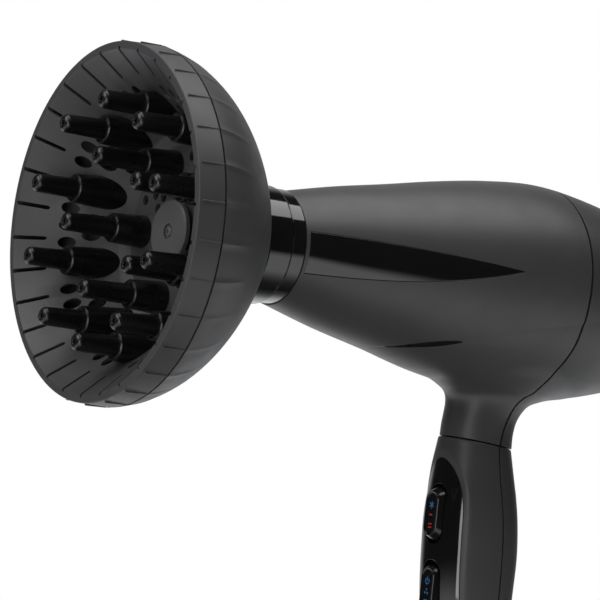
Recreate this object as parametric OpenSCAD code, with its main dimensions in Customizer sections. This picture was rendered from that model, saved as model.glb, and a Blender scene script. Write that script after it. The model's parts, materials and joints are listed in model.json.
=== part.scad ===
// Hair dryer with a finger diffuser. X runs along the barrel from the air outlet (-X)
// to the intake (+X), Z is up, the grip hangs toward -Z. All lengths are in millimetres.

/* [Diffuser] */
// Radius of the diffuser mouth
mouth_r = 73; // [66:0.5:80]
// Number of radial slots round the rim
slot_count = 30; // [20:1:40]
// Number of fingers in the outer ring
outer_fingers = 10; // [8:1:12]
// Pitch radius of the outer fingers
outer_ring_r = 48.85; // [44:0.05:52]
// Pitch radius of the inner fingers
inner_ring_r = 28.4; // [26:0.1:31]
// Radius of a finger just behind its tip
finger_r = 3.8; // [3:0.05:4.5]
// Radius of the deflector disc
deflector_r = 13.2; // [10:0.1:16]

/* [Outlet] */
// Outside radius of the outlet nozzle, where the collar runs
nozzle_r = 20.95; // [19:0.05:22]
// Outside radius of the diffuser collar
collar_r = 24.8; // [24:0.1:27]
// Outside radius of the nose ring
nose_r = 24; // [23:0.1:26]

/* [Body] */
// Wall of the housings and grip shells
wall = 2.2; // [1.6:0.1:3]
// Height of the top line over the axis at eight even stations
top_line = [23.4, 28.7, 33.1, 37.7, 41.35, 42.95, 39.6, 33.4];
// Depth of the bottom line under the axis at the same stations
bottom_line = [24.6, 32, 38.1, 44.7, 48.9, 50.5, 49.6, 44.2];
// Half width at the same stations
side_line = [24, 28.2, 32.4, 36.4, 39.7, 41.9, 40.6, 35.2];
// Plane where the front and rear housings meet
split_x = 147.3; // [140:0.1:155]
// Rear end of the rear housing
tail_x = 190; // [186:0.5:196]

/* [Grip] */
// Centre of the grip along X at nine even stations
grip_mid = [125.65, 126.3, 127.4, 128.5, 129.3, 130.5, 132, 133.2, 134.2];
// Depth of the grip in front of that centre
grip_front = [17.2, 19, 21.7, 22.3, 21.9, 20.9, 19.4, 18, 17.1];
// Depth of the grip behind that centre
grip_back = [16.2, 18.1, 19.7, 20.3, 19.3, 17.9, 17.2, 16.9, 16.6];
// Half width of the grip
grip_half = [14.6, 16.5, 18.3, 18.6, 18.3, 17.6, 16.9, 16.2, 15.6];
// Height of the joint between neck and grip
joint_z = -72.4; // [-76:0.1:-70]
// Bottom of the grip shells
grip_end_z = -196; // [-200:1:-190]

/* [Switches] */
// Height of the heat rocker
heat_z = -104.7; // [-108:0.1:-100]
// Distance between the two rockers
rocker_pitch = 33; // [30:0.5:36]
// Half width of a rocker face
rocker_half = 4.15; // [3.5:0.05:5]
// Length of a rocker face
rocker_len = 19.4; // [16:0.1:22]

/* [Fan and motor] */
// Tip radius of the fan blades
fan_r = 30.6; // [28:0.1:31]
// Number of fan blades
fan_blades = 9; // [7:1:13]
// Outside radius of the motor can
motor_r = 14.3; // [12:0.1:16]
// Radius of the motor shaft
shaft_r = 1.5; // [1:0.05:2]

/* [Cord and hanging] */
// Radius of the hole for the cord
cord_r = 3.6; // [3:0.1:4.5]
// Radius of the hole in the hanging eye
eye_r = 5; // [4:0.25:6]

/* [Hidden] */
$fn = 72;
fit = 0.05;
first_x = 10;
step_x = 26;
nose_end = 9.6;
seam_x = -63.5;
dish_slope = 1.242;
cone_top = 69.3;
cone_x = -74.6;
floor_x = -37.5;
shoulder_out = -62;
shoulder_in = -52.8;
section_n = 40;
barrel_n = 15;
matt = [0.23, 0.23, 0.24];
dark = [0.15, 0.15, 0.16];
gloss = [0.03, 0.03, 0.035];
metal = [0.68, 0.69, 0.7];
mica = [0.72, 0.66, 0.52];

// Smooth line through even stations, extended straight past both ends.
function at_station(v, i) = i < 0 ? 2 * v[0] - v[1] + (i + 1) * (v[1] - v[0])
  : i >= len(v) ? v[len(v) - 1] + (v[len(v) - 1] - v[len(v) - 2]) * 1.35 * (i - len(v) + 1) : v[i];
function spline(v, s) = let (i = floor(s), u = s - i, a = at_station(v, i - 1), b = at_station(v, i),
  c = at_station(v, i + 1), d = at_station(v, i + 2))
  b + u * (c - a) / 2 + u * u * (a - 2.5 * b + 2 * c - d / 2) + u * u * u * (1.5 * b - 1.5 * c + (d - a) / 2);
function along(v, x) = spline(v, (x - first_x) / step_x);
function down(v, z) = spline(v, (joint_z + 0.4 - z) / 16);

// Barrel section at x, moved inward by g and scaled by k.
function body_point(x, a, g = 0, k = 1) = let (
    h = sin(a) > 0 ? along(top_line, x) : along(bottom_line, x), w = along(side_line, x))
  [x, k * (w - g) * cos(a), k * (h - g) * sin(a)];
function body_ring(x, g = 0, k = 1) = [for (i = [0:section_n - 1]) body_point(x, -i * 360 / section_n, g, k)];
// Half width of the barrel at height z.
function body_y(x, z, g = 0) = let (h = (z > 0 ? along(top_line, x) : along(bottom_line, x)) - g,
    w = along(side_line, x) - g) w * sqrt(max(0, 1 - z * z / h / h));

// Grip section at z, moved inward by g. The top ring lies in the tilted joint plane.
function joint_tilt(z) = 0.1 * max(0, 1 - (joint_z - z) / 34);
function squareness(z) = 2 + 0.5 * min(1, max(0, (joint_z - z) / 20));
function grip_point(z, a, g = 0, front = 1) = let (n = squareness(z), c = cos(a), s = sin(a),
    depth = (c < 0 ? down(grip_front, z) * front : down(grip_back, z)) - g,
    x = down(grip_mid, z) + depth * sign(c) * pow(abs(c), 2 / n),
    y = (down(grip_half, z) - g) * sign(s) * pow(abs(s), 2 / n))
  [x, y, z - joint_tilt(z) * (x - 126)];
function grip_ring(z, g = 0) = [for (i = [0:section_n - 1]) grip_point(z, i * 360 / section_n, g)];
// Front face of the grip at (y, z).
function grip_face(y, z, g = 0, front = 1) = let (n = squareness(z), half = down(grip_half, z),
    x = down(grip_mid, z) - (down(grip_front, z) * front - g) * pow(max(0, 1 - pow(abs(y) / half, n)), 1 / n))
  [x, y, z - joint_tilt(z) * (x - 126)];

// Closed solid through rings of points; both ends are flat caps.
module skin(rings) {
  n = len(rings[0]);
  m = len(rings);
  polyhedron([for (r = rings) each r], concat(
    [for (i = [0:m - 2], j = [0:n - 1]) let (k = (j + 1) % n) [i * n + j, i * n + k, (i + 1) * n + k]],
    [for (i = [0:m - 2], j = [0:n - 1]) let (k = (j + 1) % n) [i * n + j, (i + 1) * n + k, (i + 1) * n + j]],
    [[for (j = [n - 1:-1:0]) j]], [[for (j = [0:n - 1]) (m - 1) * n + j]]), convexity = 6);
}
// Turned solid about the X axis from [x, radius] pairs.
module turned(p) rotate([0, 90, 0]) rotate_extrude($fn = 96) polygon([for (q = p) [q[1], q[0]]]);
// Cylinder along X.
module rod(x0, x1, r) translate([x0, 0, 0]) rotate([0, 90, 0]) cylinder(h = x1 - x0, r = r);
module tube(x0, x1, ro, ri) difference() {
  rod(x0, x1, ro);
  rod(x0 - 1, x1 + 1, ri);
}
// Places children at radius r and angle t round the X axis; t = 0 points to -Y.
module at_angle(t, r) rotate([-t, 0, 0]) translate([0, -r, 0]) children();

function bez(p, u) = pow(1 - u, 3) * p[0] + 3 * pow(1 - u, 2) * u * p[1] + 3 * (1 - u) * u * u * p[2] + pow(u, 3) * p[3];
function bez_dir(p, u) = let (d = 3 * pow(1 - u, 2) * (p[1] - p[0]) + 6 * (1 - u) * u * (p[2] - p[1])
  + 3 * u * u * (p[3] - p[2])) d / norm(d);
bowl_line = [[seam_x + 0.8, mouth_r + 0.6], [-44, 70.3], [-29, 57], [-9.5, 25.3]];
function bowl_inner(u) = bez(bowl_line, u) + 2 * [bez_dir(bowl_line, u)[1], -bez_dir(bowl_line, u)[0]];

module diffuser_bowl() color(matt) turned(concat(
  [for (i = [0:18]) bez(bowl_line, i / 18)],
  [[-9, 24.8], [-9, 23.05], [-20.5, 23.05], [-20.5, 25], [-12.6, 25], [-12.6, 26.4]],
  [for (i = [14:-1:2]) bowl_inner(i / 15)],
  [[-59.6, 71.4], [seam_x + 0.2, 71.4], [seam_x + 0.2, 72.5], [seam_x + 0.8, 72.5]]));

// Front surface of the dish at radius r.
function dish_x(r) = cone_x + (cone_top - r) * dish_slope;
module dish_section(grow = 0) turned([[seam_x, mouth_r + 0.6], [-74.7, mouth_r + 0.05], [-75, mouth_r - 0.25],
  [-75 - grow, cone_top + 0.5], [cone_x - grow, cone_top], [dish_x(41.8) - grow, 41.8],
  [floor_x - 1.2 - grow, 39.2], [floor_x - grow, 36.8], [floor_x - grow, 1.2], [-28.5, 1.2],
  [-28.5, 5], [floor_x + 1.8, 5], [floor_x + 1.8, 37.4], [floor_x + 0.9, 39.9], [dish_x(42.6) + 1.1, 43.4],
  [dish_x(68.9) + 1.2, 70.2], [-71.4, 71.2], [seam_x, 71.2], [-60.4, 71.2], [-60.4, 71.3], [seam_x, 71.3]]);

module diffuser_dish() color(matt) difference() {
  union() {
    dish_section();
    for (i = [0:slot_count - 1]) at_angle(7.2 + i * 360 / slot_count, 0)
      translate([-73.4, -mouth_r - 0.85, -0.35]) cube([73.4 + seam_x, 1.1, 0.7]);
  }
  for (i = [0:slot_count - 1]) at_angle(6 + i * 360 / slot_count, 0) {
    translate([-77, -70.2, -0.8]) cube([20, 8.4, 1.6]);
    for (r = [70.2, 61.8]) translate([-77, -r, 0]) rotate([0, 90, 0]) cylinder(h = 20, r = 0.8);
  }
  for (k = [0:9], a = [[55.6, -7.5], [55.6, 0], [55.6, 7.5], [49.3, -3.75], [49.3, 3.75], [43.4, 0]])
    at_angle(36 * k + a[1], a[0]) rod(-75, -30, a[0] > 45 ? 2.4 : 1.9);
  for (k = [0:4], a = [[21, -8.1], [21, 8.1], [26.3, 0], [31.8, -11.5], [31.8, 11.5]])
    at_angle(72 * k + a[1], a[0]) rod(-50, -30, 2.1);
  for (k = [0:outer_fingers - 1]) at_angle(18 + k * 360 / outer_fingers, outer_ring_r) rod(-70, -30, 5.25);
  for (k = [0:4]) at_angle(36 + 72 * k, inner_ring_r) rod(-50, -30, 5.25);
}

// One finger on its boss: domed tip at x, shoulder at s, base at b.
module finger(x, s, b, flare) turned(concat([[x + 0.5, 1.05], [x, 1.3]],
  [for (a = [0:15:90]) [x + 2 - 2 * cos(a), finger_r - 2 + 2 * sin(a)]],
  [[s - 0.8, 4.3], [s, 4.5], [s, 4.8], [s - 0.45, 5.1], [s - 0.45, 5.65], [s + 0.1, 6.05], [b, flare],
  [b, 2.4], [x + 3, 2.4], [x + 2, 1.05]]));
module finger_stub(x, b) tube(x, b, 5.2, 2.4);

module diffuser_fingers() color([0.07, 0.07, 0.08]) {
  for (k = [0:outer_fingers - 1]) union() {
    difference() {
      at_angle(18 + k * 360 / outer_fingers, outer_ring_r) finger(-81, shoulder_out, -38, 7.5);
      turned([[-62, 90], [dish_x(90) - 0.06, 90], [dish_x(38) - 0.06, 38], [-30, 38], [-30, 90]]);
    }
    at_angle(18 + k * 360 / outer_fingers, outer_ring_r) finger_stub(-59.5, -39);
  }
  for (k = [0:4]) at_angle(36 + 72 * k, inner_ring_r) {
    finger(-75.5, shoulder_in, floor_x - 0.02, 6.9);
    finger_stub(floor_x - 1, -33.5);
  }
}

module deflector_disc() color([0.34, 0.34, 0.35]) turned([[-43, 3.2], [-43, deflector_r - 0.7],
  [-42.3, deflector_r], [-40.6, deflector_r], [-40.2, deflector_r - 0.4], [-40.2, 4.4], [floor_x, 4.4],
  [floor_x, 1.3], [-41.8, 1.3], [-41.8, 3.2]]);

module deflector_pin() color([0.3, 0.3, 0.31]) turned([[-42.2, 0], [-42.2, 0.7], [-43.1, 0.85],
  [-43, 1.5], [-42.6, 2.05], [-41.82, 2.2], [-41.82, 1.15], [-30, 1.15], [-29.5, 0.8], [-29.5, 0]]);

module diffuser_collar() color(gloss) turned([[-8.7, collar_r - 0.4], [-8.3, collar_r], [1.8, collar_r],
  [2.3, collar_r - 0.5], [2.3, nozzle_r + fit], [-24, nozzle_r + fit], [-24, 22.2], [-23.2, 23.9],
  [-21.6, 23.9], [-20.9, 23], [-8.7, 23]]);

module nose_ring() color(gloss) turned([[2.7, nose_r - 0.4], [3.1, nose_r], [8.9, nose_r], [9.3, nose_r - 0.3],
  [9.3, nozzle_r + fit], [2.7, nozzle_r + fit]]);

module outlet_nozzle() color(dark) turned([[-16, nozzle_r - 0.6], [-15.4, nozzle_r], [11, nozzle_r], [13, 21.2],
  [31, 24.9], [34, 24.9], [34, 23.5], [31, 23.4], [13, 19.6], [11, 19.4], [-16, 19.4]]);

module outlet_grille() color(metal) union() {
  tube(-14, -11, 19.35, 18.4);
  for (r = [4.5, 9.2, 13.9]) tube(-13.2, -12, r + 0.5, r - 0.5);
  for (a = [0, 60, 120]) rotate([a, 0, 0]) translate([-12.8, -18.8, -0.5]) cube([1.4, 37.6, 1]);
}

/* Housings: barrel loft with a filleted neck, cut apart along a bent seam. */
neck = [[-73.5, 125.7, 16.75, 14.6], [-66, 125.8, 16.65, 14.5], [-61, 126.7, 16.95, 14.75], [-57, 128.2, 18, 15.4],
  [-54, 129.7, 19.7, 16.2], [-52, 131.4, 22.2, 17.1], [-50.3, 132.6, 24.6, 18.1], [-48.6, 133.8, 27.7, 19.5],
  [-46, 134.5, 30.5, 21.6], [-42, 135.2, 31.3, 24.3], [-34, 134.7, 30.3, 24.5]];
function neck_ring(i, g) = let (t = tan(max(0, (-57 - neck[i][0]) / 16.5) * 5.7))
  [for (k = [0:31]) let (a = -k * 11.25, x = (neck[i][2] - g) * cos(a))
    [neck[i][1] + x, (neck[i][3] - g) * sin(a), neck[i][0] - t * x]];
module neck_core(g, low = 0) skin(concat(low > 0 ? [[for (p = neck_ring(0, g)) p - [0, 0, low]]] : [],
  [for (i = [0:len(neck) - 1]) neck_ring(i, g)]));
// Tilted half space under the neck, moved down by d.
module below_joint(d) translate([126, 0, joint_z - d]) rotate([0, 5.7, 0]) translate([-60, -60, -60]) cube([120, 120, 60]);
// Side outline of everything behind the seam, moved by d.
seam_line = [[split_x, 60], [split_x, -14], [146.2, -27], [144.8, -34], [142.8, -40.5], [140.6, -45], [139.2, -48.4],
  [135.8, -51.2], [133.2, -55], [131, -60.8], [129.3, -66.5], [127.8, -78]];
module behind_seam(d) rotate([90, 0, 0]) linear_extrude(height = 120, center = true)
  polygon(concat([for (p = seam_line) [p[0] + d, p[1]]], [[240, -78], [240, 60]]));
// Screw bosses of the housings: angle and radius round the axis.
boss_spots = [[90, 37.1], [-42, 39.65], [222, 39.65]];
module housing_boss(b) at_angle(b[0], b[1]) hull() {
  translate([136, 0, 0]) rotate([0, 90, 0]) cylinder(h = 14.5, r = 2.9, $fn = 16);
  translate([136, -4.4, -2]) cube([14.5, 1, 4]);
}
module whole_housing() difference() {
  union() {
    skin([for (i = [0:barrel_n]) body_ring(nose_end + i * (tail_x - nose_end) / barrel_n)]);
    neck_core(0);
  }
  difference() {
    union() {
      skin([for (i = [0:barrel_n]) body_ring(nose_end - 0.3 + i * (tail_x - nose_end + 0.6) / barrel_n, wall)]);
      neck_core(wall, 3);
    }
    for (x = [70, 100, 156, 180], s = [-1, 1]) stiffener(x, s);
    for (b = boss_spots) housing_boss(b);
  }
  for (b = boss_spots) at_angle(b[0], b[1]) translate([135, 0, 0]) rotate([0, 90, 0])
    cylinder(h = 20, r = 1.45, $fn = 16);
  below_joint(-0.25);
}

// Teardrop outline on the flank.
inlay_x0 = 11.2;
inlay_x1 = 111.8;
function inlay_top(u) = 6.9 - 4.7 * pow(u, 2.2);
function inlay_bottom(u) = -10.6 + 1.5 * u + 10.8 * pow(u, 2.6);
module flank_patch(side, deep, thick, spread) {
  n = 14;
  m = 4;
  rows = [for (i = [0:n]) let (u = i / n, x = inlay_x0 - spread + u * (inlay_x1 - inlay_x0 + 2 * spread))
    [for (j = [0:m]) let (v = j / m, z = (inlay_bottom(u) - spread) * (1 - v) + (inlay_top(u) + spread) * v) [x, z]]];
  outer = [for (r = rows) [for (p = r) [p[0], side * body_y(p[0], p[1], deep), p[1]]]];
  inner = [for (r = rows) [for (k = [m:-1:0]) let (p = r[k]) [p[0], side * body_y(p[0], p[1], deep + thick), p[1]]]];
  rings = [for (i = [0:n]) concat(outer[i], inner[i])];
  skin(side < 0 ? rings : [for (r = rings) [for (k = [len(r) - 1:-1:0]) r[k]]]);
}
// Crescent under the belly: where a tilted plane meets the surface.
function belly_z(x) = -30 + 0.2 * (x - 91);
function trim_height(u) = 0.3 + 1.9 * pow(sin(180 * pow(u, 1.5)), 0.8);
module belly_strip(side, deep, thick, spread) {
  n = 12;
  rings = [for (i = [0:n]) let (u = i / n, x = 62.6 + u * 29.2 + (i == 0 ? -spread : i == n ? spread : 0),
      z = belly_z(x) - 0.5, h = trim_height(u) / 2 + spread)
    [for (q = [[1, 0], [-1, 0], [-1, 1], [1, 1]]) let (zz = z + q[0] * h)
      [x, side * body_y(x, zz, deep + q[1] * thick), zz]]];
  skin(side < 0 ? [for (r = rings) [for (k = [3:-1:0]) r[k]]] : rings);
}
// Short rib on the inside of the flank.
module stiffener(x, s) hull() {
  translate([x, s * (along(side_line, x) - wall - 1) - (s < 0 ? 2.4 : 0), -5]) cube([1.2, 2.4, 10]);
  translate([x, s * (along(side_line, x) - wall - 0.4) - (s < 0 ? 2.4 : 0), -7]) cube([1.2, 2.4, 14]);
}

module front_housing() color(matt) difference() {
  whole_housing();
  behind_seam(-0.15);
  for (s = [-1, 1]) {
    flank_patch(s, -1.2, 2.8, 0.12);
    belly_strip(s, -1, 1.95, 0.12);
  }
}
module rear_housing() color(matt) intersection() {
  whole_housing();
  behind_seam(0.15);
}
module inlay_left() color(gloss) flank_patch(-1, 0.35, 1.1, 0);
module inlay_right() color(gloss) flank_patch(1, 0.35, 1.1, 0);
module belly_trim() color(gloss) for (s = [-1, 1]) belly_strip(s, 0.05, 0.75, 0);

/* Heater */
module heater_sleeve() color(mica) tube(34.3, 108, 24.9, 24.3);
coil_x = [for (i = [0:6]) 46 + 8.5 * i];
module heater_boards() color(mica) difference() {
  union() {
    translate([38, -24.1, -0.4]) cube([68, 48.2, 0.8]);
    translate([38, -0.4, -24.1]) cube([68, 0.8, 48.2]);
  }
  for (x = coil_x) {
    tube(x - 0.6, x + 0.6, 21.1, 19.9);
    tube(x + 3.4, x + 4.6, 14.1, 12.9);
  }
}
module wire_ring(x, r) translate([x, 0, 0]) rotate([0, 90, 0]) rotate_extrude() translate([r, 0]) circle(r = 0.5, $fn = 16);
module heater_coil_low() color([0.6, 0.5, 0.42]) for (x = coil_x) wire_ring(x + 4, 13.5);
module heater_coil_high() color([0.6, 0.5, 0.42]) for (x = coil_x) wire_ring(x, 20.5);
module thermostat() color(metal) {
  translate([101, 7.5, 0.45]) cylinder(h = 3.2, r = 4.5);
  translate([101, 7.5, 3.7]) cylinder(h = 1.2, r = 2.2);
}
module thermal_fuse() color([0.85, 0.8, 0.65]) translate([0, -16.8, 2.2]) union() {
  rod(96, 103, 1.6);
  rod(91, 106, 0.4);
}
module air_funnel() color(dark) turned([[105, 25], [105, 26.4], [110, 26.6], [118, 35.1], [121.5, 35.1],
  [121.5, 33.7], [118.8, 33.7], [110.6, 25]]);

/* Fan unit */
module fan_duct() color(dark) union() {
  tube(119, 180, 33.6, 32.2);
  translate([158, -3, 33]) cube([2.4, 6, 4.4]);
  for (s = [-1, 1]) translate([158, s * 35.4 - 2.4, -3]) cube([2.4, 4.8, 6]);
  difference() {
    rod(120, 152, 17.6);
    rod(119, 153, 16.6);
  }
  for (i = [0:8]) rotate([i * 40 + 20, 0, 0]) translate([137, -24.9, 0]) rotate([0, 18, 0])
    translate([-8, -7.9, -0.6]) cube([16, 15.8, 1.2]);
}
module motor_damper() color([0.1, 0.1, 0.1]) tube(126, 148, 16.55, motor_r + fit);
module motor_can() color(metal) difference() {
  union() {
    rod(120, 158, motor_r);
    rod(117.6, 121, 4.4);
  }
  rod(121.2, 159, motor_r - 1);
  rod(110, 130, 3.05);
}
module motor_magnets() color([0.25, 0.25, 0.26]) difference() {
  tube(130, 152, motor_r - 1.05, 11.2);
  translate([129, -20, -3]) cube([24, 40, 6]);
}
module motor_end_plate() color([0.85, 0.85, 0.82]) difference() {
  union() {
    rod(158.05, 160, motor_r);
    rod(155.5, 158.2, motor_r - 1.1);
  }
  rod(150, 170, 3.05);
}
module bearing_bushes() color([0.72, 0.53, 0.3]) {
  tube(117.8, 121.6, 3, shaft_r + fit);
  tube(155.7, 160.2, 3, shaft_r + fit);
}
module motor_brushes() color([0.15, 0.15, 0.15]) for (s = [-1, 1])
  translate([124.6, s * 3.85 - (s < 0 ? 8.9 : 0), -1.2]) cube([2.4, 8.9, 2.4]);
module rotor() color([0.45, 0.42, 0.4]) difference() {
  union() {
    rod(131, 151, 10.8);
    rod(129.4, 152.4, 8.6);
  }
  rod(120, 160, shaft_r + 0.02);
  for (i = [0:4]) rotate([i * 72, 0, 0]) translate([130.5, -1.1, 8.7]) cube([21, 2.2, 3]);
}
module commutator() color([0.75, 0.45, 0.3]) tube(123.4, 128.6, 3.6, shaft_r + 0.02);
module motor_shaft() color(metal) rod(116.4, 183, shaft_r);
module impeller() color([0.2, 0.2, 0.21]) union() {
  turned([[163.5, 12.2], [164, 12.8], [180, 12.8], [183.6, 10.2], [185.4, 5], [185.6, 0], [183.2, 0],
    [183.2, shaft_r + 0.02], [166, shaft_r + 0.02], [166, 3.4], [181, 3.4], [181, 9.4], [178, 11.2], [163.5, 11.2]]);
  for (i = [0:fan_blades - 1]) rotate([i * 360 / fan_blades, 0, 0]) translate([172, -12.4, 0])
    rotate([0, 42, 0]) translate([-9, -(fan_r - 12.4), -0.6]) cube([18, fan_r - 12.4, 1.2]);
}
module rectifier_board() color([0.16, 0.36, 0.2]) union() {
  difference() {
    rod(113, 114.6, 13);
    rod(112, 116, 3);
  }
  for (s = [-1, 1]) {
    translate([0, s * 8.4, 0]) rod(114.5, 119.9, 0.6);
    translate([0, s * 5, 7.5]) rod(110.4, 113.1, 2);
    translate([0, s * 5, -7.5]) rod(110.4, 113.1, 2);
  }
}

/* Intake end */
function cap_scale(x) = x < 199 ? 1 : sqrt(max(0, 1 - pow((x - 199) / 13, 2)));
module cap_loft(x0, x1, g) skin([for (i = [0:6]) let (x = x0 + (x1 - x0) * sin(i * 15)) body_ring(x, g, cap_scale(x))]);
// Straight core with the section of the cap's mouth, so that the tongue slides out of the housing.
module tongue_core(x0, x1, g) skin([for (x = [x0, x1]) [for (p = body_ring(191.5, g)) [x, p[1], p[2]]]]);
module intake_grille() color(dark) difference() {
  union() {
    difference() {
      cap_loft(tail_x + 0.3, 208, 0);
      cap_loft(tail_x + 0.2, 206, wall);
    }
    difference() {
      tongue_core(187.2, 192, wall + 0.4);
      tongue_core(187.1, 192.5, wall + 1.5);
    }
    difference() {
      skin([for (i = [0:1]) body_ring(190.6 + i * 1.6, 1)]);
      tongue_core(190.5, 192.3, wall + 1.5);
    }
    intersection() {
      cap_loft(tail_x + 0.3, 208, 0.6);
      for (a = [0:60:300]) rotate([a, 0, 0]) hull() {
        translate([196, -0.7, 28.7]) cube([3, 1.4, 0.2]);
        translate([193, -0.7, 45]) cube([6, 1.4, 0.2]);
      }
    }
  }
  for (i = [-5:5]) let (z = i * 4.5 - 2.6, w = 23 * sqrt(1 - pow(i / 6.1, 2))) hull() for (s = [-1, 1])
    translate([203.5, s * w, z]) rotate([0, 90, 0]) cylinder(h = 8, r = 1.1, $fn = 8);
}
module lint_filter() color(metal) union() {
  tube(196, 199, 28.6, 27.3);
  for (i = [-5:5]) let (h = sqrt(27.6 * 27.6 - 26 * i * i)) {
    translate([197.1, 5.1 * i - 0.25, -h]) cube([0.5, 0.5, 2 * h]);
    translate([197.5, -h, 5.1 * i - 0.25]) cube([0.5, 2 * h, 0.5]);
  }
}

/* Grip */
parting_line = [[127.8, -60], [127.8, -74], [128.5, -84], [130.4, -98], [132, -112], [132.6, -121], [133.2, -135],
  [134, -160], [135, -200]];
module behind_parting(d) rotate([90, 0, 0]) linear_extrude(height = 80, center = true)
  polygon(concat([for (p = parting_line) [p[0] + d, p[1]]], [[200, -200], [200, -60]]));
grip_steps = 15;
module grip_tube() difference() {
  skin([for (i = [0:grip_steps]) grip_ring(joint_z - 0.25 + (grip_end_z - joint_z) * i / grip_steps)]);
  skin([for (i = [0:grip_steps]) grip_ring(joint_z + 0.3 + (grip_end_z - joint_z - 1) * i / grip_steps, wall)]);
}
// Arched outline of the panel on the grip front, spread by g.
panel_top = -80.3;
panel_low = -166;
function panel_half(z, g) = let (up = min(1, max(0, (-108.3 - z) / -28)), lo = min(1, max(0, (-150 - z) / 16)))
  (14 + g) * (z > -108.3 ? sqrt(max(0, 1 - pow((z + 108.3) / (28 + g), 2)))
    : z < -150 ? sqrt(max(0, 1 - pow((z + 150) / (16 + g), 2))) : 1);
function panel_front(z) = 1 - 0.085 * min(1, max(0, (panel_top - z + 3) / 16)) * min(1, max(0, (z - panel_low + 3) / 16));
// Face of the panel at the middle of a rocker.
function rocker_x(z) = grip_face(0, z, 0, panel_front(z))[0];
heat_x = rocker_x(heat_z);
speed_z = heat_z - rocker_pitch;
speed_x = rocker_x(speed_z);
board_x = heat_x + 22;
// Heights of the shell screws, the end cap, the cord clamp and the hanging eye.
screw_z = -172;
cap_z = grip_end_z - 0.6;
clamp_z = cap_z + 14;
eye_x = down(grip_mid, grip_end_z) + 6;
eye_z = cap_z - 17.5;
bush_x = down(grip_mid, grip_end_z) - 7;
module panel_block(g, deep, thick) {
  n = 20;
  m = 8;
  z0 = panel_top + g;
  z1 = panel_low - g;
  rings = [for (i = [0:n]) let (c = (1 - cos(180 * i / n)) / 2, z = z0 + (z1 - z0) * c, h = max(2, panel_half(z, g)))
    concat([for (j = [0:m]) grip_face(h * (2 * j / m - 1), z, deep, panel_front(z))],
      [for (j = [m:-1:0]) grip_face(h * (2 * j / m - 1), z, deep + thick, panel_front(z))])];
  skin([for (r = rings) [for (k = [len(r) - 1:-1:0]) r[k]]]);
}
module shell_key(z, s) mirror([0, s < 0 ? 1 : 0, 0]) hull() {
  translate([down(grip_mid, z) - 3, down(grip_half, z) - 4.2, z - 1]) cube([2, 2.6, 2]);
  translate([down(grip_mid, z) - 9, down(grip_half, z) - 5, z - 1]) cube([2, 2.4, 2]);
}
// Post inside the front shell that takes a screw; it ends at x.
module front_post(y, z, x) {
  x0 = grip_face(abs(y) + 2.8, z)[0] + 0.3;
  translate([x0, y, z]) rotate([0, 90, 0]) cylinder(h = x - x0, r = 2.8, $fn = 16);
}
module grip_front_shell() color(matt) difference() {
  union() {
    difference() {
      grip_tube();
      behind_parting(-0.15);
    }
    for (z = [-86, -102, -120, -138, -158, -188], s = [-1, 1]) shell_key(z, s);
    for (s = [-1, 1]) {
      front_post(s * 7.2, clamp_z, bush_x - 4.05);
      front_post(s * 8, screw_z, 134);
    }
  }
  panel_block(0.15, -6, 12);
  for (s = [-1, 1]) {
    translate([119, s * 7.2, clamp_z]) rotate([0, 90, 0]) cylinder(h = 10, r = 1.35, $fn = 16);
    translate([121, s * 8, screw_z]) rotate([0, 90, 0]) cylinder(h = 20, r = 1.45, $fn = 16);
  }
}
module grip_rear_shell() color(dark) difference() {
  union() {
    intersection() {
      grip_tube();
      behind_parting(0.15);
    }
    for (z = [-96, -122, -148]) for (s = [-1, 1]) hull() {
      translate([board_x + 1.65, s * 6.5, z]) rotate([0, 90, 0]) cylinder(h = 2, r = 1.6, $fn = 16);
      translate([down(grip_mid, z) + down(grip_back, z) - 3.4, s * 6.5, z]) rotate([0, 90, 0])
        cylinder(h = 1, r = 2.8, $fn = 16);
    }
    for (z = [-109, -135]) hull() {
      translate([down(grip_mid, z) + 14, -8, z]) cube([2, 16, 1.2]);
      translate([down(grip_mid, z) + down(grip_back, z) - 2.4, -8, z]) cube([0.8, 16, 1.2]);
    }
    for (s = [-1, 1]) translate([134.5, s * 8, screw_z]) rotate([0, 90, 0]) cylinder(h = 10.7, r = 3.7, $fn = 20);
  }
  for (s = [-1, 1]) translate([0, s * 8, screw_z]) rotate([0, 90, 0]) {
    translate([0, 0, 130]) cylinder(h = 20, r = 1.45, $fn = 16);
    translate([0, 0, 141.5]) cylinder(h = 20, r = 2.7, $fn = 20);
  }
}

/* Control panel and rockers */
module capsule(w, len, h) hull() for (s = [-1, 1]) translate([0, 0, s * (len / 2 - w)]) rotate([0, 90, 0])
  cylinder(h = h, r = w, $fn = 28);
module rocker_well(x, z) {
  translate([x - 3, 0, z]) capsule(6.3, 26.2, 8);
}
rocker_places = [[heat_x, heat_z], [speed_x, speed_z]];
module panel_clip(z, s) mirror([0, s < 0 ? 1 : 0, 0]) hull() {
  translate([grip_face(9, z, 2.2, panel_front(z))[0], 9.6, z - 1.5]) cube([1, 1.6, 3]);
  translate([grip_face(9, z, 2.2, panel_front(z))[0] + 4, 9.9, z - 1]) cube([1, 1, 2]);
}
module control_panel() color(gloss) difference() {
  union() {
    panel_block(0, 0, 2.4);
    for (z = [-100, -120, -140], s = [-1, 1]) panel_clip(z, s);
  }
  for (p = rocker_places) rocker_well(p[0], p[1]);
}
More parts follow.
